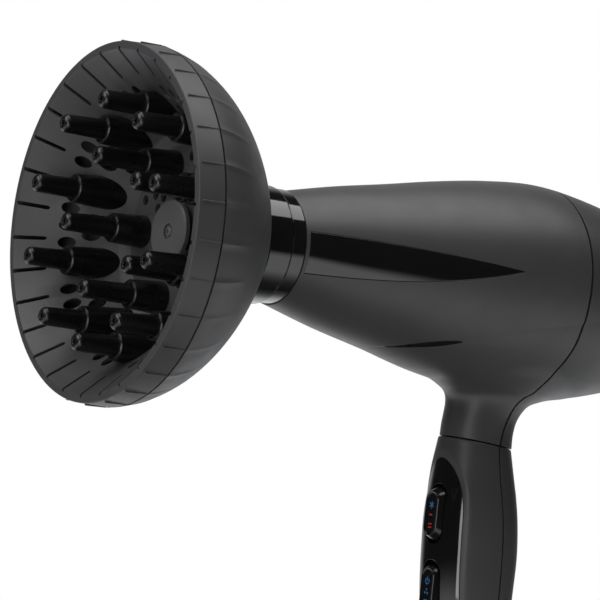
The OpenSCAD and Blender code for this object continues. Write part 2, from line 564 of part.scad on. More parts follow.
// Frame behind the panel that carries both rockers on their pins.
module rocker_frame() color(dark) difference() {
  rotate([90, 0, 0]) linear_extrude(height = 18, center = true) polygon(concat(
    [for (i = [0:4]) let (z = heat_z + 15 - i * (rocker_pitch + 30) / 4)
      [grip_face(9, z, 0, panel_front(z))[0] + 2.75, z]],
    [[heat_x + 15.4, speed_z - 15], [heat_x + 15.4, heat_z + 15]]));
  for (p = rocker_places) {
    translate([p[0], -6.6, p[1] - 13.4]) cube([30, 13.2, 26.8]);
    translate([p[0] + 8, -10, p[1]]) rotate([-90, 0, 0]) cylinder(h = 20, r = 1);
  }
}
// Rocker with a face at -2.2 and a pivot bore behind the panel.
module rocker(x, z) translate([x, 0, z]) difference() {
  union() {
    hull() {
      translate([-2.2, 0, 0]) capsule(rocker_half, rocker_len, 0.4);
      translate([1.8, 0, 0]) capsule(5.4, 23.6, 1.2);
    }
    translate([2, -4, -3]) cube([6, 8, 6]);
    translate([8, -4, 0]) rotate([-90, 0, 0]) cylinder(h = 8, r = 3);
  }
  translate([8, -10, 0]) rotate([-90, 0, 0]) cylinder(h = 20, r = 1 + fit);
}
module heat_rocker() color([0.06, 0.06, 0.065]) rocker(heat_x, heat_z);
module speed_rocker() color([0.06, 0.06, 0.065]) rocker(speed_x, speed_z);
module rocker_pins() color(metal) for (p = rocker_places)
  translate([p[0] + 8, -9, p[1]]) rotate([-90, 0, 0]) cylinder(h = 18, r = 0.99);
module switch_modules() color([0.12, 0.12, 0.13]) for (p = rocker_places)
  translate([p[0] + 12.6, -5.5, p[1] - 9]) cube([board_x - p[0] - 12.65, 11, 18]);
module switch_board() color([0.16, 0.36, 0.2]) translate([board_x, -9, speed_z - 16]) cube([1.6, 18, rocker_pitch + 30]);

module wiring() color([0.5, 0.12, 0.1]) for (y = [-4, 0, 4]) union() {
  translate([board_x + 0.8, y, speed_z - 16 + rocker_pitch + 30.2]) cylinder(h = 53.6, r = 1.1);
  translate([0, y, -38.4]) rod(108, board_x + 1.4, 1);
}

/* Lower end */
module end_cap() color(dark) difference() {
  union() {
    skin([for (i = [0:6]) let (u = sin(15 * i), z = cap_z - 9 * u) [for (p = grip_ring(cap_z, 3.6 * (1 - cos(15 * i))))
      [p[0], p[1], z]]]);
    translate([eye_x, 3.4, eye_z]) rotate([90, 0, 0]) cylinder(h = 6.8, r = 9);
    translate([eye_x - 9, -3.4, eye_z]) cube([18, 6.8, 12]);
  }
  translate([bush_x, 0, cap_z - 20]) cylinder(h = 30, r = 6);
  translate([eye_x, 10, eye_z]) rotate([90, 0, 0]) cylinder(h = 20, r = eye_r);
}
module cord_bush() color([0.08, 0.08, 0.08]) translate([bush_x, 0, 0]) difference() {
  union() {
    translate([0, 0, cap_z - 11]) cylinder(h = 14, r = 5.95);
    translate([0, 0, cap_z + 0.05]) cylinder(h = 2.4, r = 7.4);
  }
  translate([0, 0, cap_z - 12]) cylinder(h = 20, r = cord_r);
}
module cord_clamp() color([0.85, 0.85, 0.82]) translate([bush_x, 0, clamp_z]) difference() {
  translate([-4, -10, -3]) cube([8, 20, 6]);
  translate([0, 0, -5]) cylinder(h = 10, r = cord_r);
  for (s = [-1, 1]) translate([-6, s * 7.2, 0]) rotate([0, 90, 0]) cylinder(h = 12, r = 1.3);
}
module screw(len, head, shank) {
  rotate([0, 90, 0]) cylinder(h = len, r = shank);
  rotate([0, 90, 0]) translate([0, 0, len - 0.01]) cylinder(h = 1.8, r = head);
}
module clamp_screws() color(metal) for (s = [-1, 1]) translate([119.4, s * 7.2, clamp_z])
  screw(bush_x + 4.05 - 119.4, 2.3, 1.25);
module grip_screws() color(metal) for (s = [-1, 1]) translate([122, s * 8, screw_z]) screw(19.55, 2.4, 1.35);
module housing_screws() color(metal) for (b = boss_spots) at_angle(b[0], b[1]) translate([137.5, 0, 0])
  screw(13.05, 2.4, 1.35);

diffuser_bowl();
diffuser_dish();
diffuser_fingers();
deflector_disc();
deflector_pin();
diffuser_collar();
nose_ring();
outlet_nozzle();
outlet_grille();
front_housing();
rear_housing();
inlay_left();
inlay_right();
belly_trim();
heater_sleeve();
heater_boards();
heater_coil_low();
heater_coil_high();
thermostat();
thermal_fuse();
air_funnel();
fan_duct();
motor_damper();
motor_can();
motor_magnets();
motor_end_plate();
bearing_bushes();
motor_brushes();
rotor();
commutator();
motor_shaft();
impeller();
rectifier_board();
intake_grille();
lint_filter();
grip_front_shell();
grip_rear_shell();
control_panel();
heat_rocker();
speed_rocker();
rocker_frame();
rocker_pins();
switch_modules();
switch_board();
wiring();
end_cap();
cord_bush();
cord_clamp();
clamp_screws();
grip_screws();
housing_screws();
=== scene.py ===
import json
import math

import bmesh
import bpy
import numpy as np
from mathutils import Matrix, Vector


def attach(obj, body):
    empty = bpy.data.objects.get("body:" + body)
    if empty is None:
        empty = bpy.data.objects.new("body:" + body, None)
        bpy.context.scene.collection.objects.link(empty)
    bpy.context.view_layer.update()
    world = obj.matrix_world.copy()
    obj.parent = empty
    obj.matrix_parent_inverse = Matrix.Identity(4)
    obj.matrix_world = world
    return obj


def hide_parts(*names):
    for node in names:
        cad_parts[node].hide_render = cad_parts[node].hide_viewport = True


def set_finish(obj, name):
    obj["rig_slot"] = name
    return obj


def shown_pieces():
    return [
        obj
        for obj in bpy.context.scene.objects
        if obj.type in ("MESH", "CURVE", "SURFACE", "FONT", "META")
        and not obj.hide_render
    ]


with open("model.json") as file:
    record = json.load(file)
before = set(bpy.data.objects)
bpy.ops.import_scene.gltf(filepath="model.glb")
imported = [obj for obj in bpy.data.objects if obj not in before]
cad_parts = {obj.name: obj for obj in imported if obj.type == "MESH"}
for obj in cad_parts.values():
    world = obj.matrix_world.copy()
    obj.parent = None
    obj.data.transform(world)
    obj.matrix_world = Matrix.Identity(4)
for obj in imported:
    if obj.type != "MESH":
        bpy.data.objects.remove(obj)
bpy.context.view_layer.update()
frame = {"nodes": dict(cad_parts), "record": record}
nodes = frame["nodes"]
scene = bpy.context.scene
MM = 0.001


# Camera: a long lens on the outlet's left, level with the barrel, rolled a little.
def make_camera():
    phi, dip, roll = 0.59744, math.radians(-2), 0.10805
    distance, shift_x, shift_y = 1.24271, -0.018571, 0.023278
    back = Vector((-math.sin(phi) * math.cos(dip), -math.cos(phi) * math.cos(dip), math.sin(dip)))
    right = Vector((math.cos(phi), -math.sin(phi), 0))
    up = right.cross(-back)
    r = right * math.cos(roll) + up * math.sin(roll)
    u = up * math.cos(roll) - right * math.sin(roll)
    data = bpy.data.cameras.new("Camera")
    data.lens, data.sensor_width = 180, 36
    data.clip_start, data.clip_end = 0.05, 20
    cam = bpy.data.objects.new("Camera", data)
    scene.collection.objects.link(cam)
    place = back * distance - r * shift_x - u * shift_y
    cam.matrix_world = Matrix((
        (r.x, u.x, back.x, place.x),
        (r.y, u.y, back.y, place.y),
        (r.z, u.z, back.z, place.z),
        (0, 0, 0, 1),
    ))
    scene.camera = cam


make_camera()


# ---------------------------------------------------------------- shape lines, in millimetres
class Line:
    """Smooth line through even stations, run on past both ends as the CAD does."""

    def __init__(self, values, start, step):
        v, n = values, len(values)

        def at(i):
            if i < 0:
                return 2 * v[0] - v[1] + (i + 1) * (v[1] - v[0])
            if i >= n:
                return v[-1] + (v[-1] - v[-2]) * 1.35 * (i - n + 1)
            return v[i]

        self.table = np.array([at(i) for i in range(-6, n + 8)], float)
        self.start, self.step = start, step

    def __call__(self, where):
        s = (np.asarray(where, float) - self.start) / self.step
        i = np.floor(s).astype(int)
        u = s - i
        k = np.clip(i + 6, 1, len(self.table) - 3)
        a, b, c, d = (self.table[k + j] for j in (-1, 0, 1, 2))
        square = a - 2.5 * b + 2 * c - d / 2
        cube = 1.5 * b - 1.5 * c + (d - a) / 2
        return b + u * (c - a) / 2 + u * u * square + u**3 * cube


# The joint, where the neck meets the grip: a plane through (JOINT_X, JOINT_Z), tilted by JOINT_TILT degrees.
JOINT_X, JOINT_Z, JOINT_TILT, GRIP_END = 126, -72.4, 5.7, -196.0
NOSE_X, TAIL_X, WALL = 9.6, 190, 2.2
# First station and step of the barrel's lines along X, and of the grip's lines down Z.
BARREL_STATIONS = (10, 26)
GRIP_STATIONS = (JOINT_Z + 0.4, -16)
top = Line([23.4, 28.7, 33.1, 37.7, 41.35, 42.95, 39.6, 33.4], *BARREL_STATIONS)
bottom = Line([24.6, 32, 38.1, 44.7, 48.9, 50.5, 49.6, 44.2], *BARREL_STATIONS)
side = Line([24, 28.2, 32.4, 36.4, 39.7, 41.9, 40.6, 35.2], *BARREL_STATIONS)
grip_mid = Line([125.65, 126.3, 127.4, 128.5, 129.3, 130.5, 132, 133.2, 134.2], *GRIP_STATIONS)
grip_front = Line([17.2, 19, 21.7, 22.3, 21.9, 20.9, 19.4, 18, 17.1], *GRIP_STATIONS)
grip_back = Line([16.2, 18.1, 19.7, 20.3, 19.3, 17.9, 17.2, 16.9, 16.6], *GRIP_STATIONS)
grip_half = Line([14.6, 16.5, 18.3, 18.6, 18.3, 17.6, 16.9, 16.2, 15.6], *GRIP_STATIONS)
# Neck sections: height, middle along X, half length along X, half width.
NECK = np.array([
    [-73.5, 125.7, 16.75, 14.6], [-66, 125.8, 16.65, 14.5], [-61, 126.7, 16.95, 14.75],
    [-57, 128.2, 18, 15.4], [-54, 129.7, 19.7, 16.2], [-52, 131.4, 22.2, 17.1],
    [-50.3, 132.6, 24.6, 18.1], [-48.6, 133.8, 27.7, 19.5], [-46, 134.5, 30.5, 21.6],
    [-42, 135.2, 31.3, 24.3], [-34, 134.7, 30.3, 24.5],
])
# Side outlines in (x, z): the seam between the housings, and the parting of the grip shells.
# Each side of a gap stands back from its line by the value given here.
SEAM_GAP, PARTING_GAP = 0.58, 0.38
FAR_BEHIND, FAR_AHEAD = 260, -40
SEAM = [
    [147.3, 60], [147.3, 20], [147.3, -4], [147.1, -16], [146.2, -27], [144.8, -34], [142.8, -40.5],
    [140.6, -45], [139.2, -48.4], [135.8, -51.2], [133.2, -55], [131, -60.8], [129.3, -66.5], [127.8, -78],
]
PARTING = [
    [127.8, -60], [127.8, -74], [128.5, -84], [130.4, -98], [132, -112], [132.6, -121], [133.2, -135],
    [134, -160], [135, -200],
]


def smooth_through(points, n):
    """The polyline resampled on a centripetal curve through its points."""
    p = np.array(points, float)
    p = np.vstack([2 * p[0] - p[1], p, 2 * p[-1] - p[-2]])
    out = []
    for i in range(1, len(p) - 2):
        p0, p1, p2, p3 = p[i - 1 : i + 3]
        d1, d2, d3 = (np.linalg.norm(b - a) for a, b in ((p0, p1), (p1, p2), (p2, p3)))
        m1 = (p2 - p1) + d2 * ((p1 - p0) / d1 - (p2 - p0) / (d1 + d2))
        m2 = (p2 - p1) + d2 * ((p3 - p2) / d3 - (p3 - p1) / (d2 + d3))
        for u in np.linspace(0, 1, n, endpoint=False):
            h = (2 * u**3 - 3 * u * u + 1, u**3 - 2 * u * u + u, 3 * u * u - 2 * u**3, u**3 - u * u)
            out.append(h[0] * p1 + h[1] * m1 + h[2] * p2 + h[3] * m2)
    out.append(p[-2])
    return np.array(out)


def smoothstep(t):
    t = np.clip(t, 0, 1)
    return t * t * (3 - 2 * t)


# ---------------------------------------------------------------- mesh tools
def new_object(name, verts, faces, scale=MM):
    mesh = bpy.data.meshes.new(name)
    mesh.from_pydata((np.asarray(verts, float) * scale).tolist(), [], faces)
    mesh.validate()
    obj = bpy.data.objects.new(name, mesh)
    scene.collection.objects.link(obj)
    return obj


def loft(rings):
    """Vertices and faces of a skin through closed rings of points; each end is a fan round a middle point."""
    r = np.asarray(rings, float)
    m, n = r.shape[:2]
    faces = []
    for i in range(m - 1):
        for j in range(n):
            k = (j + 1) % n
            faces.append((i * n + j, i * n + k, (i + 1) * n + k, (i + 1) * n + j))
    verts = np.vstack([r.reshape(-1, 3), r[0].mean(0), r[-1].mean(0)])
    a, b = m * n, m * n + 1
    for j in range(n):
        k = (j + 1) % n
        faces.append((k, j, a))
        faces.append(((m - 1) * n + j, (m - 1) * n + k, b))
    return verts, faces


def outward(obj):
    """Turns a closed mesh's faces outward."""
    bm = bmesh.new()
    bm.from_mesh(obj.data)
    bmesh.ops.recalc_face_normals(bm, faces=bm.faces)
    if bm.calc_volume(signed=True) < 0:
        bmesh.ops.reverse_faces(bm, faces=bm.faces)
    bm.to_mesh(obj.data)
    bm.free()
    return obj


def solid(name, rings):
    return outward(new_object(name, *loft(rings)))


def join(objs, name):
    verts, faces = [], []
    for o in objs:
        base = len(verts)
        verts += [tuple(v.co) for v in o.data.vertices]
        faces += [tuple(base + i for i in f.vertices) for f in o.data.polygons]
        drop(o)
    return new_object(name, verts, faces, 1)


def drop(*objs):
    for o in objs:
        mesh = o.data
        bpy.data.objects.remove(o)
        if mesh and not mesh.users:
            bpy.data.meshes.remove(mesh)


def bake(obj):
    """Applies the object's modifiers to its mesh."""
    dg = bpy.context.evaluated_depsgraph_get()
    mesh = bpy.data.meshes.new_from_object(obj.evaluated_get(dg))
    obj.modifiers.clear()
    old = obj.data
    obj.data = mesh
    bpy.data.meshes.remove(old)
    return obj


def cut(obj, *steps):
    """Boolean steps, each (operation, tool). The tools are used up."""
    for what, tool in steps:
        m = obj.modifiers.new("b", "BOOLEAN")
        m.operation, m.solver, m.object = what, "MANIFOLD", tool
    bake(obj)
    drop(*(tool for _, tool in steps))
    return obj


def copy_of(obj):
    new = obj.copy()
    new.data = obj.data.copy()
    scene.collection.objects.link(new)
    return new


def block(x0, x1, y0, y1, z0, z1):
    v = [(x, y, z) for x in (x0, x1) for y in (y0, y1) for z in (z0, z1)]
    f = [(0, 1, 3, 2), (4, 6, 7, 5), (0, 4, 5, 1), (2, 3, 7, 6), (0, 2, 6, 4), (1, 5, 7, 3)]
    return outward(new_object("block", v, f))


def prism(ends):
    """Closed solid between two outlines with the same number of 3-D points."""
    n = len(ends[0])
    faces = [(i, (i + 1) % n, n + (i + 1) % n, n + i) for i in range(n)]
    faces += [tuple(range(n)), tuple(range(2 * n - 1, n - 1, -1))]
    return outward(new_object("prism", np.vstack(ends), faces))


def side_prism(outline):
    """Closed outline in (x, z), run through the whole width."""
    p = np.asarray(outline, float)
    return prism([np.column_stack([p[:, 0], np.full(len(p), y), p[:, 1]]) for y in (-80, 80)])


def front_prism(outline, x0, x1):
    """Closed outline in (y, z), run through from x0 to x1."""
    p = np.asarray(outline, float)
    return prism([np.column_stack([np.full(len(p), x), p[:, 0], p[:, 1]]) for x in (x0, x1)])


def ring_skin(rings):
    """Vertices and faces of a skin through closed rings, where the last ring joins the first."""
    n, m = len(rings), len(rings[0])
    faces = [
        (i * m + j, i * m + (j + 1) % m, ((i + 1) % n) * m + (j + 1) % m, ((i + 1) % n) * m + j)
        for i in range(n)
        for j in range(m)
    ]
    return np.vstack(rings), faces


def revolve(profile, n=96, name="turned"):
    """Closed solid turned about X from (x, radius) pairs, first and last pair joined."""
    p = np.asarray(profile, float)
    a = np.linspace(0, 2 * np.pi, n, endpoint=False)
    rings = [np.column_stack([p[:, 0], -p[:, 1] * np.cos(t), p[:, 1] * np.sin(t)]) for t in a]
    return outward(new_object(name, *ring_skin(rings)))


def shade(obj, angle=32):
    mesh = obj.data
    mesh.shade_smooth()
    mesh.set_sharp_from_angle(angle=math.radians(angle))
    return obj


def place(obj, name, body, slot, *stands_for):
    obj.name = name
    obj.data.name = name
    shade(obj)
    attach(obj, body)
    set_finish(obj, slot)
    if stands_for:
        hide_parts(*stands_for)
    return obj


# ---------------------------------------------------------------- barrel and neck
def hermite(xs, ys, x):
    """Cubic through uneven stations."""
    m = np.gradient(ys, xs)
    i = np.clip(np.searchsorted(xs, x) - 1, 0, len(xs) - 2)
    h = xs[i + 1] - xs[i]
    u = np.clip((x - xs[i]) / h, 0, 1)
    return (
        (2 * u**3 - 3 * u * u + 1) * ys[i]
        + (u**3 - 2 * u * u + u) * h * m[i]
        + (3 * u * u - 2 * u**3) * ys[i + 1]
        + (u**3 - u * u) * h * m[i + 1]
    )


def barrel_field(p):
    """Rough distance outside the barrel; negative inside."""
    x, y, z = p.T
    h = np.where(z > 0, top(x), bottom(x))
    w = side(x)
    r = np.hypot(y, z) + 1e-6
    return r - r / np.sqrt((y / w) ** 2 + (z / h) ** 2 + 1e-12)


def neck_tilt(z):
    """Slope of the neck's section at height z: level above z = -57, then steeper down to the joint."""
    return np.tan(np.radians(JOINT_TILT) * np.clip((-57 - z) / 16.5, 0, 1.4))


def neck_field(p):
    """Rough distance outside the neck; negative inside. The neck stops inside the barrel, at z = -36."""
    x, y, z = p.T
    tilt = neck_tilt(z)
    mid = hermite(NECK[:, 0], NECK[:, 1], z)
    zs = z + tilt * (x - mid)
    mid = hermite(NECK[:, 0], NECK[:, 1], zs)
    a = hermite(NECK[:, 0], NECK[:, 2], zs)
    b = hermite(NECK[:, 0], NECK[:, 3], zs)
    dx = x - mid
    r = np.hypot(dx, y) + 1e-6
    return np.maximum(r - r / np.sqrt((dx / a) ** 2 + (y / b) ** 2 + 1e-12), z + 36)


def gradient(f, p, e=0.05):
    return np.column_stack([(f(p + d) - f(p - d)) / (2 * e) for d in np.eye(3) * e])


def body_field(p):
    """Barrel and neck as one field, blended where their distances differ by less than k mm."""
    k = 5.0
    a = barrel_field(p)
    near = (p[:, 2] < -20) & (a > -30)
    out = a.copy()
    q = p[near]
    if len(q):
        b = neck_field(q)
        b = b / np.clip(np.linalg.norm(gradient(neck_field, q), axis=1), 1, 4)
        h = np.clip(1 - np.abs(a[near] - b) / k, 0, 1)
        out[near] = np.minimum(a[near], b) - h * h * k / 4
    return out


def section_rings(xs, n, g=0.0):
    """Barrel sections at each x, moved inward by g."""
    t = np.linspace(0, 2 * np.pi, n, endpoint=False)
    rings = []
    for x in xs:
        h = np.where(np.sin(t) > 0, top(x), bottom(x)) - g
        rings.append(np.column_stack([np.full(n, x), (side(x) - g) * np.cos(t), h * np.sin(t)]))
    return rings


def neck_rings(g=0.0, n=64, low=0.0):
    """Neck sections moved inward by g. The first one lies 4 + low mm under the neck's lowest station."""
    t = np.linspace(0, 2 * np.pi, n, endpoint=False)
    rings = []
    for z in np.r_[NECK[0, 0] - 4 - low, NECK[:, 0]]:
        zs = max(z, NECK[0, 0])
        mid, a, b = (hermite(NECK[:, 0], NECK[:, j], np.array([zs]))[0] for j in (1, 2, 3))
        tilt = neck_tilt(z)
        x = (a - g) * np.cos(t)
        rings.append(np.column_stack([mid + x, (b - g) * np.sin(t), z - tilt * x]))
    return rings


def project(p, field, steps):
    """Moves points toward the field's zero surface, at most cap mm a step."""
    cap = 3.0
    for _ in range(steps):
        f = field(p)
        g = gradient(field, p)
        move = -(f / np.maximum((g * g).sum(1), 0.05))[:, None] * g
        long = np.linalg.norm(move, axis=1, keepdims=True)
        p = p + move * np.minimum(1, cap / np.maximum(long, 1e-9))
    return p


def relax(p, edges, field):
    """Evens the vertices out along the surface."""
    n = len(p)
    rounds = 6
    count = np.bincount(edges.ravel(), minlength=n)[:, None]
    for _ in range(rounds):
        total = np.zeros_like(p)
        np.add.at(total, edges[:, 0], p[edges[:, 1]])
        np.add.at(total, edges[:, 1], p[edges[:, 0]])
        p = project(p + 0.6 * (total / count - p), field, 1)
    return project(p, field, 2)


def make_body_volume():
    """Barrel and neck as one blended closed volume, longer than the real one at every end."""
    parts = [
        solid("a", section_rings(np.linspace(4, 196, 60), 96)),
        solid("b", neck_rings()),
    ]
    obj = join(parts, "body_volume")
    m = obj.modifiers.new("r", "REMESH")
    m.mode, m.voxel_size = "VOXEL", 0.0013
    bake(obj)
    mesh = obj.data
    p = np.empty(len(mesh.vertices) * 3)
    mesh.vertices.foreach_get("co", p)
    p = p.reshape(-1, 3) / MM
    e = np.empty(len(mesh.edges) * 2, int)
    mesh.edges.foreach_get("vertices", e)
    x0, x1, z0 = 6.5, 193.5, -75.5
    keep = (p[:, 0] < x0) | (p[:, 0] > x1) | (p[:, 2] < z0)
    new = relax(p, e.reshape(-1, 2), body_field)
    inside = np.minimum(np.minimum(p[:, 0] - x0, x1 - p[:, 0]), p[:, 2] - z0)
    blend = np.clip(inside / 1.5, 0, 1)[:, None]
    new = np.where(keep[:, None], p, p * (1 - blend) + new * blend)
    mesh.vertices.foreach_set("co", (new * MM).ravel())
    mesh.update()
    return outward(obj)


def beyond(line, off, x_far):
    """Everything between a side outline, moved by off along X, and x_far."""
    p = smooth_through(line, 6)
    p = p[p[:, 1].argsort()]
    return side_prism([(x + off, z) for x, z in p] + [(x_far, p[-1, 1]), (x_far, p[0, 1])])


def below_joint():
    """Tilted half space under the neck, from a little above the joint."""
    gap = 0.25
    o = block(-80, 80, -60, 60, -60, 0)
    tilt = Matrix.Rotation(math.radians(JOINT_TILT), 4, "Y")
    o.data.transform(Matrix.Translation((JOINT_X * MM, 0, (JOINT_Z + gap) * MM)) @ tilt)
    return o


# Flank inlay: an outline in (x, z) whose u runs from 0 at its front to 1 at its tip.
INLAY_X0, INLAY_X1 = 11.2, 111.8


def inlay_top(u):
    return 6.9 - 4.7 * u**2.2


def inlay_bottom(u):
    return -10.6 + 1.5 * u + 10.8 * u**2.6


def flank_y(x, z):
    """Half width of the barrel at height z."""
    h = np.where(z > 0, top(x), bottom(x))
    return side(x) * np.sqrt(np.maximum(0, 1 - (z / h) ** 2))


def flank_patch(sign, levels, spread):
    """Closed patch on the flank, with the inlay's outline grown by spread. levels gives (inset, depth) pairs:
    how far each edge row lies inside the outline and how deep under the surface. The last is the floor."""
    along, across = 120, 26
    rings = []
    for u in np.linspace(0, 1, along + 1):
        x = INLAY_X0 - spread + u * (INLAY_X1 - INLAY_X0 + 2 * spread)
        lo, hi = inlay_bottom(u) - spread, inlay_top(u) + spread
        below, above = (lo + hi) / 2 - 0.01, (lo + hi) / 2 + 0.01
        ring = [(x, min(lo + inset, below), d) for inset, d in levels[:-1]]
        flat_inset, flat_depth = levels[-2]
        a, b = min(lo + flat_inset, below), max(hi - flat_inset, above)
        ring += [(x, a + v * (b - a), flat_depth) for v in np.linspace(0, 1, across + 1)[1:-1]]
        ring += [(x, max(hi - inset, above), d) for inset, d in reversed(levels[:-1])]
        ring += [(x, hi, levels[-1][1]), (x, lo, levels[-1][1])]
        r = np.array(ring)
        y = sign * flank_y(r[:, 0], r[:, 1]) - sign * r[:, 2]
        rings.append(np.column_stack([r[:, 0], y, r[:, 1]]))
    return solid("patch", rings)


# Crease under the belly, which runs on to the rear as the edge of a shallow facet.
# The trim strip lies along its front part, TRIM_DROP under the line of the crease.
CREASE_X, CREASE_Z = 91, -30
TRIM_X0, TRIM_LONG, TRIM_DROP = 62.6, 29.2, 0.5
FACET_X0, FACET_X1 = 60, 189.9


def belly_z(x):
    return CREASE_Z + 0.2 * (x - CREASE_X)


def trim_height(u):
    return 0.3 + 1.9 * np.sin(np.pi * np.clip(u, 0, 1) ** 1.5) ** 0.8


def belly_strip(sign, deep, thick, spread):
    """Strip of the given thickness along the crease, deep mm under the surface, its edge grown by spread."""
    rings = []
    for u in np.linspace(0, 1, 61):
        x = TRIM_X0 + u * TRIM_LONG + (spread if u == 1 else -spread if u == 0 else 0)
        h = trim_height(u) / 2 + spread
        mid = belly_z(x) - TRIM_DROP
        ring = []
        for k, d in ((1, deep), (-1, deep), (-1, deep + thick), (1, deep + thick)):
            z = mid + k * h
            ring.append((x, sign * (float(flank_y(x, z)) - d), z))
        rings.append(ring)
    return solid("strip", rings)


def facet_tool(sign):
    """Wedge that sinks the band behind the crease: deepest at its upper line, nothing at its lower line."""
    rings = []
    for x in np.linspace(FACET_X0, FACET_X1, 90):
        if x < CREASE_X:
            hi = belly_z(x) + trim_height((x - TRIM_X0) / TRIM_LONG) / 2 - TRIM_DROP
            lo = hi - 0.6 - 2.2 * (x - FACET_X0) / (CREASE_X - FACET_X0)
            sink = 0.10
        else:
            hi = CREASE_Z + 0.235 * (x - CREASE_X) + 0.3
            lo = CREASE_Z + 0.12 * (x - CREASE_X) - 2.6
            sink = 0.10 + 0.0065 * (x - CREASE_X)
        inner = []
        for v in np.linspace(0, 1, 7):
            z = lo + v * (hi - lo)
            inner.append((x, sign * (float(flank_y(x, z)) - sink * v + (0.02 if v == 0 else 0)), z))
        outer = [(x, sign * (float(flank_y(x, z)) + 2), z + up) for z, up in ((hi, 0.05), (lo, 0))]
        rings.append(inner + outer)
    return solid("facet", rings)


def make_housings():
    body = make_body_volume()
    hollow_barrel = solid("hb", section_rings(np.linspace(3, 197, 50), 72, WALL))
    hollow_neck = solid("hn", neck_rings(WALL, 48, 6))
    steps = [
        ("DIFFERENCE", hollow_barrel),
        ("DIFFERENCE", hollow_neck),
        ("DIFFERENCE", block(-20, NOSE_X, -80, 80, -80, 80)),
        ("DIFFERENCE", block(TAIL_X, 230, -80, 80, -80, 80)),
        ("DIFFERENCE", below_joint()),
    ]
    steps += [("DIFFERENCE", facet_tool(s)) for s in (-1, 1)]
    cut(body, *steps)
    rear = copy_of(body)
    trim_slot = (-1, 1.95, 0.12)
    inlay_bed = [(0, -1.2), (0, -1.2), (0, 1.6)]
    front_steps = [("DIFFERENCE", beyond(SEAM, -SEAM_GAP, FAR_BEHIND))]
    for s in (-1, 1):
        front_steps.append(("DIFFERENCE", flank_patch(s, inlay_bed, 0.06)))
        front_steps.append(("DIFFERENCE", belly_strip(s, *trim_slot)))
    cut(body, *front_steps)
    cut(rear, ("INTERSECT", beyond(SEAM, SEAM_GAP, FAR_BEHIND)))
    place(body, "front_housing_shell", "dryer", "body_plastic", "front_housing")
    place(rear, "rear_housing_shell", "dryer", "rear_plastic", "rear_housing")
    edge = [(0, 0.95), (0.0, 0.35), (0.1, 0.2), (0.3, 0.12), (0.31, 0.12), (0, 1.45)]
    for s, label in ((-1, "left"), (1, "right")):
        place(flank_patch(s, edge, 0), f"inlay_{label}_gloss", "dryer", "gloss_black", f"inlay_{label}")
    trims = join([belly_strip(s, 0.05, 0.75, 0) for s in (-1, 1)], "trims")
    place(outward(trims), "belly_trim_gloss", "dryer", "gloss_black", "belly_trim")


# ---------------------------------------------------------------- grip
# Control panel in (y, z): an arch from ARCH_Z up, straight sides, an arc from FOOT_Z down.
# The two rockers are given as label, body and middle in (x, z).
ARCH_Z, ARCH_R, FOOT_Z, FOOT_R, PANEL_HALF = -108.3, 28, -150, 16, 14
PANEL_TOP, PANEL_LOW = ARCH_Z + ARCH_R, FOOT_Z - FOOT_R
PANEL_FRONT, PANEL_BACK = 90, 121
HEAT_X, HEAT_Z, SPEED_X, SPEED_Z = 107.5296, -104.7, 109.4421, -137.7
ROCKERS = (("heat", "heat_switch", HEAT_X, HEAT_Z), ("speed", "speed_switch", SPEED_X, SPEED_Z))


def panel_outline(g):
    """Outline of the panel in (y, z), grown by g."""
    half = PANEL_HALF + g
    quarter = np.linspace(0, math.pi / 2, 40)
    up = [(ARCH_Z + (ARCH_R + g) * math.sin(t), half * math.cos(t)) for t in quarter]
    low = [(FOOT_Z - (FOOT_R + g) * math.sin(t), half * math.cos(t)) for t in reversed(quarter)]
    right = [(y, z) for z, y in low + up]
    left = [(-y, z) for y, z in reversed(right)]
    pts = right + left
    out = [pts[0]]
    for q in pts[1:]:
        if math.dist(q, out[-1]) > 0.02:
            out.append(q)
    if math.dist(out[0], out[-1]) < 0.02:
        out.pop()
    return out


def outside_panel(y, z):
    """Rough distance outside the panel's outline; negative inside."""
    y = np.abs(y)
    up = z > ARCH_Z
    over = np.where(up, z - ARCH_Z, np.minimum(0, z - FOOT_Z))
    q = np.sqrt((y / PANEL_HALF) ** 2 + (over / np.where(up, ARCH_R, FOOT_R)) ** 2)
    r = np.hypot(y, over)
    return r - r / np.maximum(q, 1e-6)


def panel_sink(z):
    """How far the panel sinks, as a share of the grip's depth."""
    a = np.clip((PANEL_TOP - z + 3) / 16, 0, 1)
    b = np.clip((z - PANEL_LOW + 3) / 16, 0, 1)
    return 0.085 * a * b


def grip_points(z, t, g=0.0, panel=False):
    """Section of the grip at height z for angles t; panel=True keeps the sunk face over the whole front."""
    n = 2 + 0.5 * min(1, max(0, (JOINT_Z - z) / 20))
    c, s = np.cos(t), np.sin(t)
    sx, sy = np.sign(c) * np.abs(c) ** (2 / n), np.sign(s) * np.abs(s) ** (2 / n)
    y = (grip_half(z) - g) * sy
    front = grip_front(z)
    if panel:
        front = front * (1 - panel_sink(z))
    else:
        d = outside_panel(y, np.full_like(y, z))
        near = smoothstep(1 - np.clip(d + 0.15, 0, None) / 3.4)
        front = front * (1 - panel_sink(z) * near)
    depth = np.where(c < 0, front, grip_back(z)) - g
    x = grip_mid(z) + depth * sx
    tilt = 0.1 * max(0, 1 - (JOINT_Z - z) / 34)
    return np.column_stack([x, y, z - tilt * (x - JOINT_X)])


def quarter_round(r, n):
    """Pairs (distance from the end, inset) that round an end by r."""
    return [(r * (1 - math.cos(q)), r * (1 - math.sin(q))) for q in np.linspace(0, math.pi / 2, n)[:-1]]


